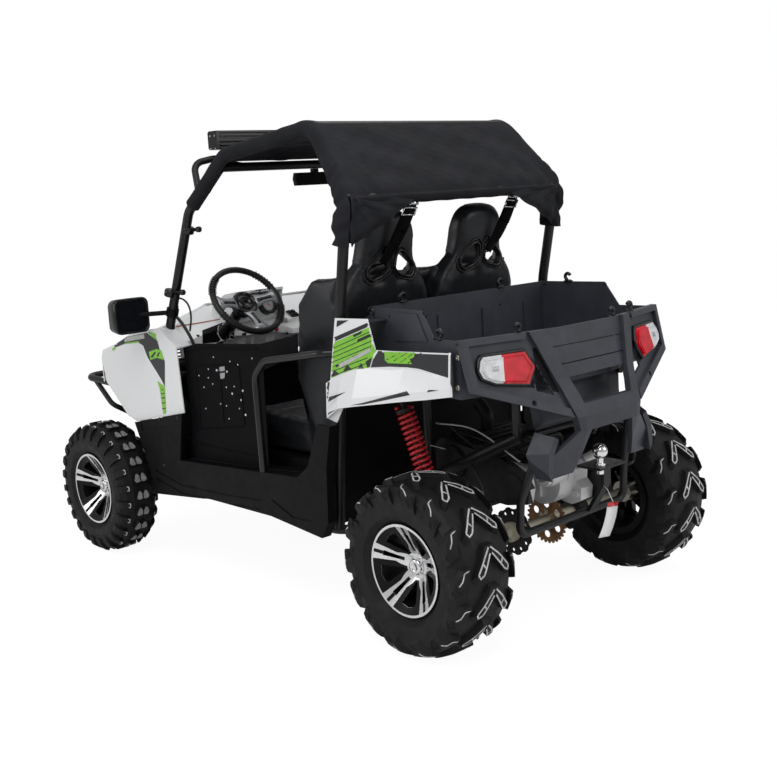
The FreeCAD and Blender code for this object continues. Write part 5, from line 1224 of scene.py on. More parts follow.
def hook(at, out, up=Vector((0, 0, 1))):
    """C-shaped tie hook: a foot plate with a bolt, and a curled arm."""
    out = Vector(out).normalized()
    side = up.cross(out).normalized()
    arm = []
    for k in range(15):
        a = math.radians(-80 + 235 * k / 14)
        arm.append(at + up * (0.0175 + 0.0115 * math.sin(a)) + side * (0.0115 * math.cos(a)))
    lead = [at + side * 0.004 - up * 0.002, at + side * 0.006 + up * 0.005]
    parts = [tube_mesh([resample(lead + arm, 18)], 0.0062, 8)]
    foot = [at - side * 0.015 - out * 0.009, at + side * 0.013 - out * 0.009, at + side * 0.013 + out * 0.009,
            at - side * 0.015 + out * 0.009]
    parts.append(plate_mesh([foot], up, 0.004))
    parts.append(dome(at - side * 0.009 + up * 0.004, up, 0.0055, 0.003, sides=12))
    return join_parts(parts)


def shown(p):
    """A point's place in the photograph's frame."""
    away = p - EYE
    depth = away.dot(FORWARD)
    return MIDDLE_X + FOCAL * away.dot(RIGHT) / depth, MIDDLE_Y + FOCAL * away.dot(BELOW) / depth


def rim_points(nodes, lowest):
    """Points along the upper edges of sheets, each with its place in the picture."""
    tree = tree_of(*nodes)
    found = []
    for name in nodes:
        made = NODES[name]
        co = [made.matrix_world @ v.co for v in made.data.vertices]
        for edge in made.data.edges:
            a, b = (co[k] for k in edge.vertices)
            if min(a.z, b.z) < lowest or (b - a).length < 0.02:
                continue
            steps = max(1, int((b - a).length / 0.012))
            for k in range(steps + 1):
                p = a.lerp(b, k / steps)
                hit, normal, _, _ = tree.ray_cast(p + Vector((0, 0, 0.05)), Vector((0, 0, -1)), 0.1)
                if hit is not None and hit.z < p.z + 0.003:
                    found.append((p, shown(p)))
    return found


def place_hooks():
    """On the rim, where the photograph shows them."""
    rim = rim_points(("cargo_bed", "rear_fascia", "rear_panel_left"), 0.93)
    marks = [(370, 314), (403, 305), (438, 344), (500, 290), (518, 334), (567, 281), (612, 317), (628, 308)]
    parts = []
    for px, py in marks:
        best = min(rim, key=lambda p: math.dist(p[1], (px, py)))[0]
        out = Vector((0, 1 if best.y > 0.9 else -1, 0))
        if abs(best.x) > 0.38:
            out = Vector((math.copysign(1, best.x), 0, 0))
        parts.append(hook(best, out))
    new_object("bed_hooks", *join_parts(parts), "gloss_black")


def hang_tag():
    """Blank card tag with a red top, tied to the guard's lower bar."""
    top = on_plane(613, 502, 1, 1.222)
    low = on_plane(604, 537, 1, 1.236)
    across = on_plane(620, 501, 1, 1.212) - top
    wide = across.length * 1.5
    points = [top.lerp(low, k / 8) + Vector((0, 0.006 * math.sin(k / 8 * 3.1), 0)) for k in range(9)]
    new_object("blank_tag", *ribbon(points[1:], wide, across), "pale_card", thick=0.0008)
    new_object("blank_tag_top", *ribbon(points[:2], wide, across), "red", thick=0.0009)
    bar = tree_of("rear_guard").find_nearest(top)[0]
    tie = [top + Vector((0, 0, 0.001)), top.lerp(bar, 0.6) + Vector((0.004, 0.004, 0.012)), bar + Vector((0, 0, 0.004))]
    new_object("tag_tie", *tube_mesh([tie], 0.0014, 6), "pale_card")


dress_tail()
dress_gear()
mirror_shells()
make_springs()
place_hooks()
hang_tag()


# Seats: the shell of the CAD node, thickened and puffed, with moulded harness slots

SEAT_PIVOT = Vector((0, 0.320 + SHIFT, 1.355 - 0.812 * math.cos(math.radians(9))))
SEAT_X = 0.222


def on_seat(x, depth, z, centre_x):
    """Point of the leaning backrest from its own coordinates."""
    a = math.radians(-9)
    y2 = depth * math.cos(a) - z * math.sin(a)
    z2 = depth * math.sin(a) + z * math.cos(a)
    return Vector((centre_x + x, SEAT_PIVOT.y + y2, SEAT_PIVOT.z + z2))


SLOT = [(0.015, 0.612), (0.019, 0.652), (0.034, 0.667), (0.054, 0.662), (0.100, 0.616), (0.098, 0.592), (0.082, 0.581),
        (0.040, 0.592)]


def slot_prism(s):
    """Cutter of one slot: straight at the back of the shell, flared towards the front."""
    verts, n = [], len(SLOT)
    for depth, wide, high in ((0.12, 1.0, 1.0), (0.058, 1.0, 1.0), (0.006, 1.9, 1.35), (-0.14, 2.1, 1.4)):
        for x, z in scaled(SLOT, wide, high):
            verts.append(on_seat(s * max(0.004, x), depth, z, SEAT_X))
    faces = [tuple(range(n)), tuple(reversed(range(3 * n, 4 * n)))]
    for r in range(3):
        faces += [(r * n + k, r * n + n + k, r * n + n + (k + 1) % n, r * n + (k + 1) % n) for k in range(n)]
    return verts, faces


def plain_mesh(name, verts, faces):
    mesh = bpy.data.meshes.new(name)
    mesh.from_pydata([tuple(v) for v in verts], [], faces)
    bm = bmesh.new()
    bm.from_mesh(mesh)
    bmesh.ops.recalc_face_normals(bm, faces=bm.faces[:])
    bm.to_mesh(mesh)
    bm.free()
    made = bpy.data.objects.new(name, mesh)
    scene.collection.objects.link(made)
    return made


def bake_modifiers(made):
    graph = bpy.context.evaluated_depsgraph_get()
    mesh = bpy.data.meshes.new_from_object(made.evaluated_get(graph))
    made.modifiers.clear()
    made.data = mesh


def puffed(made, pressure, cap, frames=20):
    """Cloth inflation, with no point moved further than the cap."""
    before = np.array([v.co for v in made.data.vertices])
    cloth = made.modifiers.new("puff", "CLOTH")
    cloth.settings.quality = 5
    cloth.settings.mass = 0.3
    cloth.settings.use_pressure = True
    cloth.settings.uniform_pressure_force = pressure
    cloth.settings.effector_weights.gravity = 0
    cloth.settings.tension_stiffness = 25
    cloth.settings.compression_stiffness = 25
    cloth.settings.bending_stiffness = 4
    cloth.point_cache.frame_start = 1
    cloth.point_cache.frame_end = frames
    for step in range(1, frames + 1):
        scene.frame_set(step)
    graph = bpy.context.evaluated_depsgraph_get()
    after = np.array([v.co for v in made.evaluated_get(graph).data.vertices])
    made.modifiers.clear()
    move = after - before
    length = np.linalg.norm(move, axis=1, keepdims=True)
    move *= np.minimum(1, cap / np.maximum(length, 1e-9))
    made.data.vertices.foreach_set("co", (before + move).astype(np.float32).ravel())
    made.data.update()
    scene.frame_set(1)


def relax(made, rounds, strength=0.5):
    smooth = made.modifiers.new("relax", "SMOOTH")
    smooth.factor = strength
    smooth.iterations = rounds
    bake_modifiers(made)


def make_seats():
    source = NODES["seat_left"]
    verts = [v.co.copy() for v in source.data.vertices]
    faces = [tuple(p.vertices) for p in source.data.polygons]
    middle = sum((v for v in verts), Vector()) / len(verts)
    verts = [v + (middle - v) * 0.010 for v in verts]
    half, low, high = 0.105, 0.550, 0.684
    corners = [(-half, low), (half, low), (half, high), (-half, high)]
    fill = [on_seat(x, depth, z, SEAT_X) for depth in (0.004, 0.066) for x, z in corners]
    fill_faces = [(0, 1, 2, 3), (7, 6, 5, 4), (0, 4, 5, 1), (1, 5, 6, 2), (2, 6, 7, 3), (3, 7, 4, 0)]
    body = plain_mesh("seat_form", *join_parts([(verts, faces), (fill, fill_faces)]))
    remesh = body.modifiers.new("grid", "REMESH")
    remesh.mode = "VOXEL"
    remesh.voxel_size = 0.0068
    bake_modifiers(body)
    relax(body, 9)
    puffed(body, 4.0, 0.008)
    relax(body, 3)
    lengthen_bolsters(body)
    carve_seams(body)
    cutters = []
    for s in (1, -1):
        cutter = plain_mesh("slot_cut", *slot_prism(s))
        cut = body.modifiers.new("slot", "BOOLEAN")
        cut.operation = "DIFFERENCE"
        cut.solver = "EXACT"
        cut.object = cutter
        cutters.append(cutter)
    bake_modifiers(body)
    for cutter in cutters:
        bpy.data.objects.remove(cutter)
    verts = [v.co.copy() for v in body.data.vertices]
    faces = [tuple(p.vertices) for p in body.data.polygons]
    bpy.data.objects.remove(body)
    left = new_object("seat_pad_left", verts, faces, "seat", slot="seat_black")
    right = new_object("seat_pad_right", *flipped(verts, faces), "seat", slot="seat_black")
    for made, node in ((left, "seat_left"), (right, "seat_right")):
        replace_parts(made, node)
    TREES[("seat_pad_left",)] = BVHTree.FromPolygons(verts, faces)
    TREES[("seat_pad_right",)] = BVHTree.FromPolygons(*flipped(verts, faces))
    return left, right


def lengthen_bolsters(body):
    """The side wings of the back reach further forward than its middle."""
    lean = math.radians(9)
    for v in body.data.vertices:
        dy, dz = v.co.y - SEAT_PIVOT.y, v.co.z - SEAT_PIVOT.z
        depth = dy * math.cos(lean) - dz * math.sin(lean)
        level = dy * math.sin(lean) + dz * math.cos(lean)
        side = min(1.0, max(0.0, (abs(v.co.x - SEAT_X) - 0.135) / 0.03))
        span = min(1.0, max(0.0, (level - 0.10) / 0.10)) * min(1.0, max(0.0, (0.73 - level) / 0.08))
        if depth < 0 and side * span > 0:
            shift = depth * 0.85 * side * span
            v.co.y += shift * math.cos(lean)
            v.co.z -= shift * math.sin(lean)
    body.data.update()


def carve_seams(body):
    """Sewn channels: two along the sides of the back and the cushion, and three across the cushion and back."""
    count = len(body.data.vertices)
    co = np.empty(count * 3, np.float32)
    no = np.empty(count * 3, np.float32)
    body.data.vertices.foreach_get("co", co)
    body.data.vertices.foreach_get("normal", no)
    co, no = co.reshape(-1, 3), no.reshape(-1, 3)
    front = np.clip((-no[:, 1] - 0.25) * 3, 0, 1)
    top = np.clip((no[:, 2] - 0.35) * 3, 0, 1)
    face = np.maximum(front, top)
    x = np.abs(co[:, 0] - SEAT_X)
    side = np.exp(-((x - 0.122) / 0.006) ** 2)
    inside = x < 0.122
    z = co[:, 2]
    y = co[:, 1]
    low = (z < 0.70)
    across = np.zeros(count)
    for level in (0.78, 0.87, 0.96, 1.05):
        across += np.exp(-((z - level) / 0.006) ** 2) * (~low)
    for level in (0.02, 0.12, 0.22):
        across += np.exp(-((y - level) / 0.006) ** 2) * low
    depth = 0.006 * face * np.clip(side + across * inside, 0, 1)
    co -= no * depth[:, None]
    body.data.vertices.foreach_set("co", co.astype(np.float32).ravel())
    body.data.update()


def seat_trim():
    """Moulded lips round the harness slots, on the back of each seat."""
    parts = []
    tree = tree_of("seat_pad_left")
    behind, deep, steps = 0.16, 0.072, 5
    for s in (1, -1):
        for grow, radius in ((1.12, 0.0062), (1.42, 0.0036)):
            ring = []
            outline = scaled(SLOT, grow, grow)
            for (xa, za), (xb, zb) in zip(outline, outline[1:] + outline[:1]):
                for k in range(steps):
                    x, z = xa + (xb - xa) * k / steps, za + (zb - za) * k / steps
                    origin = on_seat(s * x, behind, z, SEAT_X)
                    aim = (on_seat(s * x, behind - 0.1, z, SEAT_X) - origin).normalized()
                    hit = cast(tree, origin, aim, 0.2)[0] or on_seat(s * x, deep, z, SEAT_X)
                    ring.append(hit - aim * 0.0015)
            ring = [(ring[i - 1] + ring[i] * 2 + ring[(i + 1) % len(ring)]) / 4 for i in range(len(ring))]
            bead = closed_tube(ring, radius)
            parts += [bead, flipped(*bead)]
    new_object("slot_lips", *join_parts(parts), "gloss_black")


# Shoulder belts with their adjusters, from the rear bar through the slots to the laps

def strip_on(points, normals, wide, side=Vector((1, 0, 0))):
    verts, faces = [], []
    for i, p in enumerate(points):
        ahead = (points[min(i + 1, len(points) - 1)] - points[max(i - 1, 0)]).normalized()
        across = (side - ahead * side.dot(ahead)).normalized()
        twist = normals[i] if normals else 0.0
        if twist:
            across = Matrix.Rotation(twist, 3, ahead) @ across
        verts += [p - across * (wide / 2), p, p + across * (wide / 2)]
        if i:
            b = 3 * i
            faces += [(b - 3, b - 2, b + 1, b), (b - 2, b - 1, b + 2, b + 1)]
    return verts, faces


def plate_ring(centre, along, across, long, wide, bar):
    """Three-bar slide: a flat frame with a bar over its middle."""
    along, across = along.normalized(), across.normalized()
    out = along.cross(across).normalized()
    parts = []
    for k in (-1, 0, 1):
        mid = centre + along * (k * (long - bar) / 2) + (out * 0.003 if k == 0 else Vector())
        parts.append(tube_mesh([[mid - across * wide / 2, mid + across * wide / 2]], bar / 2, 8))
    for k in (-1, 1):
        mid = centre + across * (k * wide / 2)
        parts.append(tube_mesh([[mid - along * long / 2, mid + along * long / 2]], bar / 2, 8))
    return parts


def make_belts():
    bar = Vector((0, ROOF_CORNER.y + SHIFT, ROOF_CORNER.z))
    straps, metal = [], []
    for x_top, x_slot, name in ((0.186, 0.272, "seat_pad_left"), (-0.318, -0.246, "seat_pad_right")):
        tree = tree_of(name)
        top = Vector((x_top, bar.y - 0.030, bar.z - 0.008))
        entry = on_seat(abs(x_slot) - SEAT_X, 0.085, 0.634, SEAT_X)
        entry.x = x_slot
        path = []
        for k in range(19):
            t = k / 18
            p = top.lerp(entry, t)
            p.z -= 0.018 * math.sin(math.pi * t)
            path.append(p)
        twist = [0.5 * math.sin(math.pi * min(1, t / 18 * 1.2)) for t in range(19)]
        straps.append(strip_on(path, twist, 0.040))
        tail = [p + Vector((0, 0.006, 0.004)) for p in path[1:9]]
        straps.append(strip_on(tail, twist[1:9], 0.038))
        for k in (1, 3):
            along = path[k + 1] - path[k - 1]
            across = Matrix.Rotation(twist[k], 3, along.normalized()) @ Vector((1, 0, 0))
            lift = across.cross(along).normalized() * 0.005
            if lift.y < 0:
                lift = -lift
            metal += plate_ring(path[k] + lift, along, across, 0.030 if k == 3 else 0.020, 0.046, 0.0055)
        bolt_at = Vector((x_top + 0.034, bar.y + 0.004, bar.z - 0.026))
        metal.append(dome(bolt_at, Vector((0.2, 0.3, -1)), 0.008, 0.007))
        through = [on_seat(abs(x_slot) - SEAT_X, depth, z, SEAT_X) for depth, z in ((0.036, 0.616), (-0.012, 0.590))]
        lead = [path[-1]] + through
        for p in through:
            p.x = x_slot
        down = []
        for k in range(25):
            z = 0.562 - 0.352 * k / 24
            origin = on_seat(abs(x_slot) - SEAT_X, -0.16, z, SEAT_X)
            origin.x = x_slot
            hit, normal, _, _ = tree.ray_cast(origin, Vector((0, 1, 0)), 0.4)
            if hit is not None:
                down.append(hit + Vector((0, -0.0035, 0)))
        buckle_x = math.copysign(SEAT_X, x_slot)
        for i, p in enumerate(down):
            t = i / max(1, len(down) - 1)
            p.x = x_slot + (buckle_x - x_slot) * t ** 1.5
        straps.append(strip_on(lead + down, None, 0.046))
        # lap belt over the cushion, and its buckle
        lap = []
        for k in range(29):
            x = buckle_x + (-0.185 + 0.37 * k / 28)
            hit, normal, _, _ = tree.ray_cast(Vector((x, 0.235, 0.95)), Vector((0, 0, -1)))
            if hit is not None:
                lap.append(hit + Vector((0, 0, 0.004)))
        smooth_lap = [lap[0]] + [(a + b * 2 + c) / 4 for a, b, c in zip(lap, lap[1:], lap[2:])] + [lap[-1]]
        straps.append(strip_on(smooth_lap, None, 0.048, Vector((0, 1, 0.15))))
        mid = smooth_lap[len(smooth_lap) // 2] + Vector((0, 0, 0.010))
        case = [mid + Vector((x, y, 0)) for x, y in ((-0.032, -0.022), (0.026, -0.024), (0.034, -0.012), (0.034, 0.012),
                                                     (0.026, 0.024), (-0.032, 0.022))]
        verts, faces = plate_mesh([case], Vector((0, 0, 1)), 0.013)
        bevel(new_object("buckle_" + name[9:], verts, faces, "gloss_black", smooth=False), 0.003)
        push = [mid + Vector((x, y, 0.0125)) for x, y in ((0.010, -0.013), (0.028, -0.010), (0.028, 0.010), (0.010, 0.013))]
        new_object("buckle_key_" + name[9:], *plate_mesh([push], Vector((0, 0, 1)), 0.003), "red", smooth=False)
    belts = new_object("belt_webbing", *join_parts(straps), "belt", slot="belt_fabric", thick=0.0022)
    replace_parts(belts, "seat_belts")
    new_object("belt_slides", *join_parts(metal), "chrome")


make_seats()
seat_trim()
make_belts()


# Cab: steering wheel, instruments, switches, door cloth, mirrors and pillar cables

WHEEL_AT = Vector((0.280, -0.261 + SHIFT, 1.019))
COLUMN = Vector((0, -math.cos(math.radians(37.7)), -math.sin(math.radians(37.7))))


def dress_wheel():
    """Pad, spokes and ribbed grips of the steering wheel."""
    face = -COLUMN
    across = Vector((1, 0, 0))
    up = across.cross(face).normalized()
    if up.z < 0:
        up = -up
    on = {"body": "steering_wheel", "slot": "grip_rubber"}
    hub = WHEEL_AT + COLUMN * 0.024
    pad = lathe(hub, face, [(0.050, -0.004), (0.052, 0.006), (0.049, 0.013), (0.041, 0.014), (0.039, 0.009), (0.031, 0.009),
                            (0.029, 0.013), (0.021, 0.013), (0.019, 0.008), (0.002, 0.008)])
    new_object("wheel_pad", *pad, "gloss_black", **on)
    plates, inserts = [], []
    for way, side in ((across, up), (-across, up), (-up, across)):
        root = hub + way * 0.040 + face * 0.004
        tip = WHEEL_AT + way * 0.134
        rows = []
        for k in range(9):
            t = k / 8
            wide = 0.030 - 0.012 * math.sin(math.pi * t) + (0.006 if t > 0.8 else 0)
            rows.append((root.lerp(tip, t) + face * (0.004 * math.sin(math.pi * t) + 0.005), wide))
        for store, picked, share, lift in ((plates, rows, 1.0, 0.0), (inserts, rows[1:7], 0.36, 0.0022)):
            verts, faces = [], []
            for k, (centre, wide) in enumerate(picked):
                half = side * (wide * share)
                verts += [centre - half + face * lift, centre + face * (lift + 0.002), centre + half + face * lift]
                if k:
                    b = 3 * k - 3
                    faces += [(b, b + 1, b + 4, b + 3), (b + 1, b + 2, b + 5, b + 4)]
            store.append((verts, faces))
    new_object("wheel_spokes", *join_parts(plates), "silver", "steering_wheel", thick=0.003)
    new_object("wheel_inlays", *join_parts(inserts), "gloss_black", thick=0.0012, **on)
    ribs, turns, sides = [], 14, 5
    for start in (20, 130, 200, 310):
        for k in range(7):
            t = math.radians(start + k * 5)
            centre = WHEEL_AT + (across * math.cos(t) + up * math.sin(t)) * 0.143
            radial = (centre - WHEEL_AT).normalized()
            tangent = radial.cross(face).normalized()
            verts = []
            for a in (2 * math.pi * j / turns for j in range(turns)):
                p = centre + radial * (0.0145 * math.cos(a)) + face * (0.0145 * math.sin(a))
                out = (p - centre).normalized()
                for b in (2 * math.pi * j / sides for j in range(sides)):
                    verts.append(p + out * (0.0013 * math.cos(b)) + tangent * (0.0013 * math.sin(b)))
            ribs.append((verts, ring_faces(turns, sides, closed=True)))
    new_object("wheel_ribs", *join_parts(ribs), "grip", **on)


def dress_dials():
    out = Vector((0, 95, 32)).normalized()
    a = Vector((1, 0, 0))
    b = out.cross(a)
    rims, faces, marks, needles = [], [], [], []
    for x in (0.209, 0.097):
        base = Vector((x, -0.396 + SHIFT, 0.9725)) + out * 0.0003
        rims.append(lathe(base, out, [(0.0395, 0.020), (0.0405, 0.027), (0.0385, 0.0305), (0.0330, 0.0295),
                                      (0.0312, 0.022), (0.0300, 0.0212)]))
        faces.append(lathe(base, out, [(0.0309, 0.0204), (0.0309, 0.0214), (0.020, 0.0216), (0.001, 0.0216)]))
        for k in range(19):
            t = math.radians(-40 + 260 * k / 18)
            way = a * math.cos(t) + b * math.sin(t)
            side = way.cross(out) * 0.0005
            long = 0.006 if k % 3 == 0 else 0.0035
            centre = base + out * 0.0219 + way * (0.0285 - long / 2)
            tick = way * long / 2
            marks.append(([centre - tick - side, centre + tick - side, centre + tick + side, centre - tick + side],
                          [(0, 1, 2, 3)]))
        way = a * math.cos(2.3) + b * math.sin(2.3)
        side = way.cross(out) * 0.0016
        start = base + out * 0.0226
        needles.append(([start - side, start + way * 0.022, start + side, start - way * 0.005], [(0, 1, 2, 3)]))
        needles.append(lathe(base + out * 0.0216, out, [(0.0035, 0), (0.0035, 0.0016), (0.0025, 0.0022)], 12))
    new_object("dial_rims", *join_parts(rims), "gloss_black")
    new_object("dial_face_pale", *faces[1], "silver")
    new_object("dial_face_dark", *faces[0], "decal_black")
    new_object("dial_marks", *join_parts(marks), "pale_film", smooth=False)
    new_object("dial_needles", *join_parts(needles), "red", smooth=False)


def knob(px, py, nodes, profile, material, name, sides=24):
    """A turned piece on the surface that is seen there, or none where the surface is hidden."""
    at, normal = seen(px, py, *nodes)
    if at is not None:
        new_object(name, *lathe(at - normal * 0.001, normal, profile, sides), material)


def dress_switches(nodes):
    """A panel with four keys, level along x."""
    spot, normal = seen(292.5, 314, *nodes)
    across = Vector((1, 0, 0))
    across = (across - normal * across.dot(normal)).normalized()
    up = normal.cross(across)

    def plate(centre, wide, high):
        return [centre + across * (i * wide / 2) + up * (j * high / 2) for i, j in ((-1, -1), (1, -1), (1, 1), (-1, 1))]

    sunk, thick = 0.002, 0.006
    panel = plate(spot - normal * sunk, 0.040, 0.046)
    bevel(new_object("switch_panel", *plate_mesh([panel], normal, thick + sunk), "gloss_black", smooth=False), 0.002)
    keys = [plate(spot + across * (i * 0.0095) + up * (j * 0.011) + normal * thick, 0.014, 0.016)
            for i in (-1, 1) for j in (-1, 1)]
    bevel(new_object("switch_keys", *plate_mesh(keys, normal, 0.004), "tub", smooth=False), 0.0015)


def dress_dash():
    at = crop(6.533, 160, 270)
    on = ("dash", "hood")
    line = [(104, 366), (250, 344), (392, 318), (393, 325), (250, 352), (104, 375)]
    sticker("dash_line", on + ("front_fender_left",), [at(line)], "rust_line", twin=False)
    for name, outlines, key, lift in (
            ("dash_vent", [[(276, 396), (384, 372), (410, 344), (498, 372), (480, 462), (276, 480)]], "tub", 0.002),
            ("dash_recess", [[(580, 150), (640, 128), (690, 128), (706, 180), (706, 214), (682, 216), (664, 176),
                              (590, 172)]], "gloss_black", 0.002),
            ("dash_strip", [[(455, 402), (640, 384), (868, 360), (874, 396), (700, 424), (640, 440), (620, 480),
                             (452, 484)]], "white", 0.0015),
            ("dash_slots", [[(672, 398), (700, 394), (702, 408), (674, 412)],
                            [(716, 392), (742, 388), (744, 402), (718, 406)],
                            [(540, 412), (566, 408), (566, 440), (540, 444)]], "tub", 0.0026)):
        sticker(name, on, [at(p) for p in outlines], key, lift=lift, twin=False)
    dress_switches(on)
    knob(284.8, 322, on, [(0.016, 0), (0.016, 0.004), (0.012, 0.006), (0.011, 0.016), (0.009, 0.018)], "silver",
         "key_switch")
    knob(276.3, 328.9, on, [(0.009, 0), (0.009, 0.003), (0.006, 0.004), (0.006, 0.009), (0.004, 0.010)], "red",
         "stop_button")
    knob(286.8, 332.6, on, [(0.009, 0), (0.009, 0.002), (0.007, 0.003), (0.006, 0.001)], "tub", "plug_cover")
    knob(243.5, 341, on, [(0.004, 0), (0.004, 0.003), (0.002, 0.004)], "chrome", "dash_screw_3", 12)


def dress_doors():
    """Eyelets and rivets in pale card as painted spots of light, pocket seams and a hem on each soft door panel, and
    the bars' shine.
    """
    at = crop(6.533, 160, 270)
    cloth = ("side_nets",)
    small = at([(349, 569), (457, 597), (509, 619), (601, 577), (316, 648), (316, 704), (485, 761), (434, 766),
                (397, 874), (435, 888), (288, 766), (345, 745), (452, 972), (520, 905), (300, 905), (255, 690)])
    large = at([(371, 655), (438, 664), (473, 808), (541, 789), (532, 850), (560, 946), (627, 677), (613, 749), (703, 657)])
    # Painted light: pale domes stand for spots of light seen through holes behind the door cloth.
    bolts("door_eyelets_light_spots", small, cloth, "pale_card", 0.0027, 0.0014)
    bolts("door_rivets_light_spots", large, cloth, "pale_card", 0.0042, 0.0020)
    latch = [(392, 634), (424, 628), (428, 668), (424, 706), (400, 712), (392, 676), (386, 652)]
    sticker("door_latch", cloth, [at(latch)], "silver", lift=0.002)
    sticker("door_latch_slot", cloth, [at([(384, 664), (436, 656), (436, 668), (384, 676)])], "tub", lift=0.003)
    hems = []
    for s in (1, -1):
        for route in ([(-0.300, 0.480), (-0.312, 0.850), (-0.235, 0.866), (0.140, 0.888)],
                      [(-0.250, 0.56), (-0.255, 0.80), (0.02, 0.82), (0.03, 0.60), (-0.250, 0.56)],
                      [(-0.300, 0.500), (0.120, 0.500)], [(-0.10, 0.60), (-0.10, 0.80)]):
            line = resample([Vector((0, y, z)) for y, z in route], 40)
            hits = [cast(tree_of(*cloth), Vector((s * 0.75, p.y, p.z)), (-s, 0, 0), 0.4)[0] for p in line]
            points = [hit for hit in hits if hit is not None]
            if len(points) > 3:
                hems.append(tube_mesh([points], 0.0030, 6))
    new_object("door_piping", *join_parts(hems), "belt", slot="belt_fabric")
    coat("hip_bars", "gloss_black")


def run_cables():
    """The mirror's cable loop and pigtail, and the thicker loom that goes down to the dash."""
    for name, route, radius in (
            ("mirror_cable", ((171, 300, 0.492), (181, 298.5, 0.488), (188.3, 305, 0.482), (191, 317, 0.478),
                              (190, 331, 0.474)), 0.0036),
            ("dash_loom", ((172, 312, 0.492), (181, 322, 0.486), (188.9, 334.3, 0.478), (194.3, 345, 0.470),
                           (199, 352, 0.460)), 0.0062),
            ("mirror_pigtail", ((170, 303, 0.490), (178, 306, 0.486), (174, 312, 0.486), (170, 309, 0.490)), 0.0026)):
        points = [on_plane(px, py, 0, x) for px, py, x in route]
        new_object(name, *tube_mesh([spline(points, 10)], radius, 8), "hose")


def dress_pillars():
    """Peg clamps on the left front pillar."""
    parts = []
    for px, py, nearer, long in ((196, 229, 6, 0.040), (180, 292, 8, 0.055)):
        base = seen(px - nearer, py + 1, "roll_cage", "mirrors")[0]
        base = base if base is not None else on_plane(px - 6, py, 0, 0.49)
        way = (on_plane(px + 8, py, 0, base.x - 0.01) - base).normalized()
        parts.append(lathe(base, way, [(0.007, -0.01), (0.007, long), (0.011, long + 0.002), (0.011, long + 0.014),
                                       (0.006, long + 0.018)], 12))
        pillar = Vector((-0.05, 0.34, 0.94)).normalized()
        foot = base - pillar * 0.012 + Vector((0, -0.012, 0))
        parts.append(lathe(foot, pillar, [(0.021, 0), (0.0225, 0.003), (0.0225, 0.021), (0.021, 0.024)], 20))
    new_object("pillar_clamps", *join_parts(parts), "gloss_black")


def dress_sills():
    """Paler lines of painted highlight along the threshold's edges and ledges, and bolts on the threshold and the
    corner under the wing.
    """
    at = crop(4.667, 100, 270)
    on = ("side_sills", "floor_tub")
    # Painted highlight: lines a little paler than the sill, where its ledges catch the light.
    lines = ([(384, 772), (560, 792), (748, 816), (945, 842), (945, 846), (748, 821), (560, 797), (384, 777)],
             [(372, 870), (560, 896), (760, 922), (945, 944), (945, 948), (760, 927), (560, 901), (372, 875)],
             [(536, 834), (541, 834), (520, 888), (515, 888)])
    sticker("sill_edge_highlights", on, [at(p) for p in lines], "decal_grey", lift=0.0008, step=6)
    bolts("sill_bolts", at([(278, 696), (362, 690), (440, 768), (300, 912)]), on, "gloss_black", 0.007, 0.003)


dress_sills()
dress_wheel()
dress_dials()
dress_dash()
dress_doors()
dress_pillars()
run_cables()


# Front, roof and floor: lamps, seams, stripes, light cells, mats and hoses

def overlay(name, nodes, outlines, place, way, material, lift=0.0006, step=0.02):
    """Thin film of flat outlines, carried along one direction onto a surface, on both sides of the vehicle."""
    points, faces = fine_outline(outlines, step)
    verts, there = [], []
    for point in points:
        origin = place(point[0], point[1])
        hit = cast(tree_of(*nodes), origin, way, REACH)[0]
        there.append(hit is not None)
        verts.append(hit - Vector(way) * lift if hit is not None else origin)
    new_object(name, *both_sides([(verts, [f for f in faces if all(there[k] for k in f)])]), material)


def beads(name, nodes, routes, place, way, radius, material, step=0.012):
    """Raised lines or seams along routes, carried onto a surface, on both sides of the vehicle."""
    parts = []
    for route in routes:
        run = []
        for (ua, va), (ub, vb) in zip(route, route[1:]):
            count = max(1, int(math.dist((ua, va), (ub, vb)) / step))
            for k in range(count + 1):
                origin = place(ua + (ub - ua) * k / count, va + (vb - va) * k / count)
                hit = cast(tree_of(*nodes), origin, way, REACH)[0]
                if hit is not None and (not run or (hit - run[-1]).length > 0.002):
                    run.append(hit)
        if len(run) > 2:
            parts.append(tube_mesh([run], radius, 6))
    new_object(name, *both_sides(parts), material)


def heads(name, nodes, spots, place, way, radius, height, material, face=None):
    """Screw heads at spots that are carried onto a surface, on both sides of the vehicle."""
    parts = []
    for u, v in spots:
        hit, normal = cast(tree_of(*nodes), place(u, v), way)
        if hit is not None:
            if normal.dot(Vector(way)) > 0:
                normal = -normal
            parts.append(dome(hit, Vector(face) if face else normal, radius, height))
    new_object(name, *both_sides(parts), material)


def from_above(u, v):
    return Vector((u, v, 1.18))


def from_ahead(u, v):
    return Vector((u, -1.6, v))


REACH = 1.5
DOWN = (0, 0, -1)
BACK = (0, 1, 0)


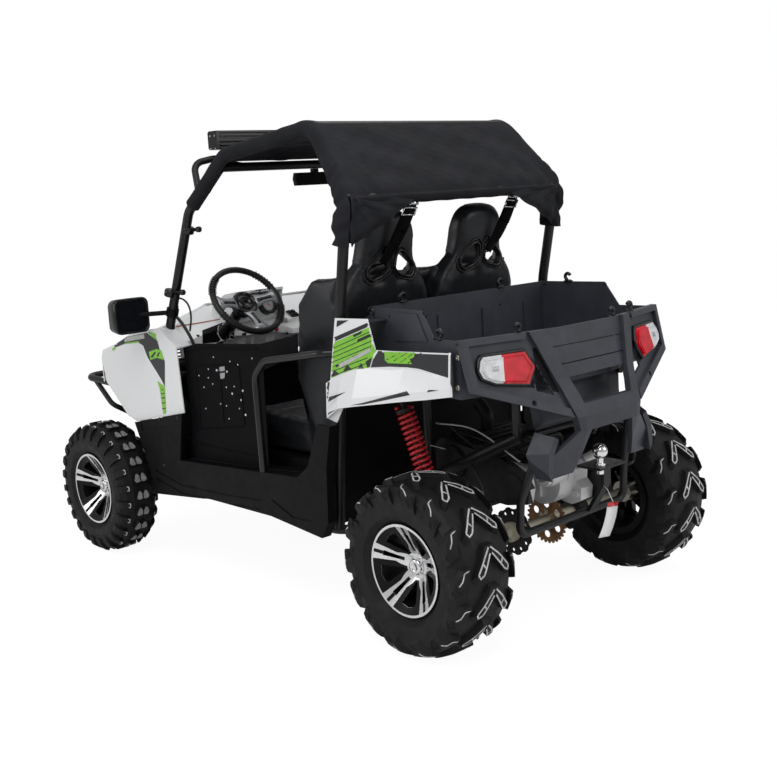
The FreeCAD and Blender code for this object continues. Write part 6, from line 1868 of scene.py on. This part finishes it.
def dress_front():
    """Frames, bowls and bulbs of the front lamps, seams and stripes of the hood, and its fasteners."""
    outline = [(0.318, 0.706), (0.452, 0.712), (0.472, 0.748), (0.440, 0.776), (0.330, 0.780)]
    grown, inner = scaled(outline, 1.03, 1.06), scaled(outline, 0.80, 0.72)
    wing = ("hood", "front_fender_left", "headlights")
    beads("lamp_frame", wing, [grown + grown[:1]], from_ahead, BACK, 0.0045, "gloss_black")
    beads("lamp_flute", ("headlights",), [inner + inner[:1]], from_ahead, BACK, 0.0016, "silver")
    bowls, bulbs = [], []
    for x, r in ((0.362, 0.026), (0.420, 0.021)):
        hit, normal = cast(tree_of("headlights"), from_ahead(x, 0.744), BACK)
        if normal.y > 0:
            normal = -normal
        bowls.append(lathe(hit, normal, [(r, 0.0), (r * 1.06, 0.003), (r * 0.97, 0.0042), (r * 0.86, 0.002),
                                         (r * 0.45, 0.0008), (r * 0.1, 0.0006)], 28))
        bulbs.append(dome(hit + normal * 0.0006, normal, r * 0.34, r * 0.28))
    new_object("lamp_bowls", *both_sides(bowls), "chrome")
    new_object("lamp_bulbs", *both_sides(bulbs), "dark_glass")
    hatch = [(0.0, -0.990), (0.150, -0.990), (0.190, -0.940), (0.215, -0.640), (0.185, -0.600), (0.0, -0.600)]
    beads("hood_seam", ("hood",), [hatch], from_above, DOWN, 0.0012, "tub")
    dark = [[(0.232, -0.900), (0.262, -0.900), (0.278, -0.560), (0.244, -0.560)],
            [(0.236, -0.960), (0.260, -0.960), (0.261, -0.915), (0.233, -0.915)]]
    overlay("hood_stripe_dark", ("hood",), dark, from_above, DOWN, "decal_grey")
    green = [[(0.222, -0.880), (0.229, -0.880), (0.241, -0.600), (0.233, -0.600)],
             [(0.266, -0.960), (0.274, -0.960), (0.276, -0.915), (0.267, -0.915)]]
    overlay("hood_stripe_green", ("hood",), green, from_above, DOWN, "green")
    spots = ((0.170, -0.965), (0.195, -0.625), (0.330, -0.90), (0.330, -0.62), (0.500, -0.80), (0.470, -0.52),
             (0.10, -1.10), (0.40, -0.40))
    heads("hood_bolts", ("hood", "front_fender_left", "dash"), spots, from_above, DOWN, 0.0065, 0.0028, "gloss_black")
    heads("nose_bolts", ("hood", "front_bumper"), ((0.255, 0.735), (0.255, 0.675), (0.06, 0.640)), from_ahead, BACK,
          0.006, 0.0028, "gloss_black", (0, -1, 0))


def dress_roof_lamp():
    """Cells and ribs over the face of the light bar, fins along its back, and its end caps' screws."""
    low, high, half, count = 1.585, 1.640, 0.354, 24
    pitch = 2 * half / count
    tree = tree_of("light_bar")
    y = cast(tree, Vector((0.01, -0.6, 1.612)), BACK)[0].y

    def rib(xa, za, xb, zb):
        return tube_mesh([[Vector((xa, y - 0.0006, za)), Vector((xb, y - 0.0006, zb))]], 0.0012, 6)

    ribs, cells = [], []
    for k in range(count + 1):
        x = -half + pitch * k
        ribs.append(rib(x, low, x, high))
        if k < count:
            for z in (low + 0.014, high - 0.014):
                at = Vector((x + pitch / 2, y + 0.0002, z))
                cells.append(lathe(at, (0, -1, 0), [(0.0115, 0), (0.0120, 0.0012), (0.0095, 0.0010), (0.003, 0.0003)], 14))
    ribs += [rib(-half, z, half, z) for z in (low, (low + high) / 2, high)]
    new_object("light_ribs", *join_parts(ribs), "alloy_dark")
    fins = []
    for z in (1.578, 1.589, 1.600, 1.611, 1.622, 1.633, 1.644):
        a, b = [cast(tree, Vector((x, 0.1, z)), (0, -1, 0), 0.6)[0] for x in (-0.30, 0.30)]
        if a is not None and b is not None:
            fins.append(ribbon([Vector((x, a.y + 0.003, z)) for x in (-0.366, 0.0, 0.366)], 0.008, (0, 1, 0)))
    new_object("light_fins", *join_parts(fins), "gloss_black", thick=0.0022)
    heads("light_screws", ("light_bar",), [(y_at, z) for z in (1.588, 1.634) for y_at in (-0.240, -0.212)],
          lambda u, v: Vector((0.6, u, v)), (-1, 0, 0), 0.0038, 0.0016, "steel", (1, 0, 0))
    new_object("light_cells", *join_parts(cells), "chrome")


def dress_floor():
    """Ribbed mat in the foot wells, and its hem."""
    ribs = [[(0.075 + 0.026 * k, -0.470), (0.075 + 0.026 * k, -0.170)] for k in range(13)]
    edge = [(0.060, -0.485), (0.405, -0.485), (0.405, -0.155), (0.060, -0.155), (0.060, -0.485)]
    for name, routes, radius in (("floor_ribs", ribs, 0.0022), ("floor_hem", [edge], 0.0032)):
        beads(name, ("floor_tub",), routes, lambda u, v: Vector((u, v, 0.62)), DOWN, radius, "tub")


def run_hoses():
    """Fuel line, breather, cable, brake hose and wires over the open engine, a rod, a loop and the starter."""
    for name, route, radius, material in (
            ("fuel_line", [(0.15, 0.66, 0.60), (0.20, 0.72, 0.64), (0.22, 0.82, 0.60), (0.16, 0.90, 0.52), (0.10, 0.96, 0.50)],
             0.0045, "hose"),
            ("breather", [(-0.08, 0.98, 0.50), (-0.02, 1.03, 0.585), (0.06, 1.04, 0.600), (0.12, 1.00, 0.570),
                          (0.15, 0.92, 0.53)], 0.0065, "hose"),
            ("gear_cable", [(0.06, 1.07, 0.46), (0.11, 1.05, 0.53), (0.16, 0.98, 0.57), (0.20, 0.86, 0.60),
                            (0.19, 0.70, 0.62)], 0.0038, "hose"),
            ("brake_hose", [(0.30, 0.92, 0.34), (0.27, 0.95, 0.42), (0.25, 0.90, 0.50), (0.24, 0.80, 0.56)], 0.0042, "hose"),
            ("wire_red", [(0.24, 0.62, 0.56), (0.25, 0.66, 0.59), (0.262, 0.70, 0.575)], 0.0018, "red"),
            ("wire_pale", [(0.24, 0.64, 0.55), (0.255, 0.70, 0.565), (0.25, 0.77, 0.56)], 0.0018, "silver")):
        new_object(name, *tube_mesh([spline(route, 9)], radius, 8), material)
    rod = [on_plane(436, 423, 0, 0.30), on_plane(475, 430, 0, 0.27), on_plane(520, 462, 0, 0.22)]
    new_object("link_rod", *tube_mesh([spline(rod, 8)], 0.0030, 8), "silver")
    spots = ((593, 432), (600, 425), (618, 421), (630, 427), (634, 445), (632, 462), (622, 466))
    loop = [on_plane(px, py, 1, 1.075) for px, py in spots]
    new_object("rear_loop", *tube_mesh([spline(loop, 8)], 0.009, 10), "gloss_black")
    can, tip = on_plane(583, 460, 1, 1.045), on_plane(603, 450, 1, 1.060)
    long = (tip - can).length
    profile = [(0.010, -0.004), (0.0155, 0.0), (0.0165, 0.003), (0.0165, long * 0.72), (0.0145, long * 0.74),
               (0.0145, long * 0.92), (0.0120, long * 0.95), (0.0050, long)]
    new_object("starter_can", *lathe(can, (tip - can).normalized(), profile, 24), "alloy")


dress_front()
dress_roof_lamp()
dress_floor()
run_hoses()


# Screws along the bed's walls, and the white edge at the end of each quarter panel

sticker("panel_end", ("rear_panel_left",), [crop(2.882, 320, 310)([(371, 125), (377, 125), (376, 248), (370, 248)])],
        "white", lift=0.0016)

bolts("bed_screws", crop(2.882, 300, 180)([(362, 392), (452, 474), (705, 300), (880, 300), (258, 392)]),
      ("cargo_bed", "rear_panel_left", "rear_fascia"), "gloss_black", 0.005, 0.0022)


# Black pockets between the spokes, slots along them, and the chrome centre caps

def to_edges(grid, places, seat):
    """The same grid, with each point that fell in an opening drawn back to the opening's edge."""
    drawn = [list(row) for row in grid]
    for i, row in enumerate(grid):
        for j in (j for j, point in enumerate(row) if point is None):
            near = [(a, b) for a in range(max(0, i - 1), min(len(grid), i + 2))
                    for b in range(max(0, j - 1), min(len(row), j + 2)) if grid[a][b] is not None]
            if near:
                inside, outside = places[near[0][0]][near[0][1]], places[i][j]
                for _ in range(6):
                    middle = ((inside[0] + outside[0]) / 2, (inside[1] + outside[1]) / 2)
                    if seat(*middle) is None:
                        outside = middle
                    else:
                        inside = middle
                drawn[i][j] = seat(*inside)
    return drawn


def rim_film(seat, centre, inner, outer, rows, across, half_at):
    """Film over a sector of a rim's face, as wide as half_at says at each radius."""
    places = []
    for i in range(rows + 1):
        r = inner + (outer - inner) * i / rows
        half = half_at(r)
        places.append([(r, centre - half + 2 * half * j / across) for j in range(across + 1)])
    grid = to_edges([[seat(*place) for place in row] for row in places], places, seat)
    verts, faces, number = [], [], {}
    for i in range(rows):
        for j in range(across):
            corners = [(i, j), (i, j + 1), (i + 1, j + 1), (i + 1, j)]
            if all(grid[a][b] is not None for a, b in corners):
                for a, b in corners:
                    if (a, b) not in number:
                        number[(a, b)] = len(verts)
                        verts.append(grid[a][b])
                faces.append(tuple(number[c] for c in corners))
    return verts, faces


def rim_films():
    dish, spokes, border = 0.058, 5, 0.0078
    for key, (s, y, z, body) in WHEELS.items():
        low, high = box_of("rim_" + key)
        lip = max(abs(low[0]), abs(high[0]))
        outer = (high[2] - low[2]) / 2 - border
        tree = tree_of("rim_" + key)

        def seat(radius, turn):
            """Point of the dished face at a radius and angle, or None over an opening."""
            a = math.radians(turn)
            origin = Vector((s * (lip + 0.05), y - radius * math.sin(a) * s, z + radius * math.cos(a)))
            hit = cast(tree, origin, (-s, 0, 0), 0.2)[0]
            if hit is None or lip - s * hit.x > dish + 0.008:
                return None
            return hit + Vector((s * 0.0006, 0, 0))

        pockets, slots = [], []
        for k in range(spokes):
            turn = 360 / spokes * k
            pockets.append(rim_film(seat, turn + 180 / spokes, 0.043, outer, 26, 30,
                                    lambda r: 24.5 * min(1.0, (0.35 + 0.65 * (r - 0.043) / 0.030))))
            slots.append(rim_film(seat, turn, 0.050, outer, 20, 6, lambda r: 4.4 * 0.075 / r))
        new_object("rim_pockets_" + key, *join_parts(pockets + slots), "rim_dark", body)
        hub = Vector((s * (lip - dish), y, z))
        cap = lathe(hub, (s, 0, 0), [(0.0268, -0.001), (0.0274, 0.004), (0.0236, 0.0128), (0.0205, 0.0146), (0.0130, 0.0150),
                                     (0.0115, 0.0136), (0.0020, 0.0136)], 40)
        new_object("rim_cap_" + key, *cap, "chrome", body)
        nuts = []
        for k in range(4):
            a = math.radians(45 + 90 * k)
            at = hub + Vector((0, 0.0345 * math.sin(a), 0.0345 * math.cos(a)))
            nuts.append(lathe(at, (s, 0, 0), [(0.0058, -0.003), (0.0058, 0.004), (0.0045, 0.0055), (0.001, 0.0055)], 6))
        new_object("rim_nuts_" + key, *join_parts(nuts), "chrome", body, smooth=False)


rim_films()
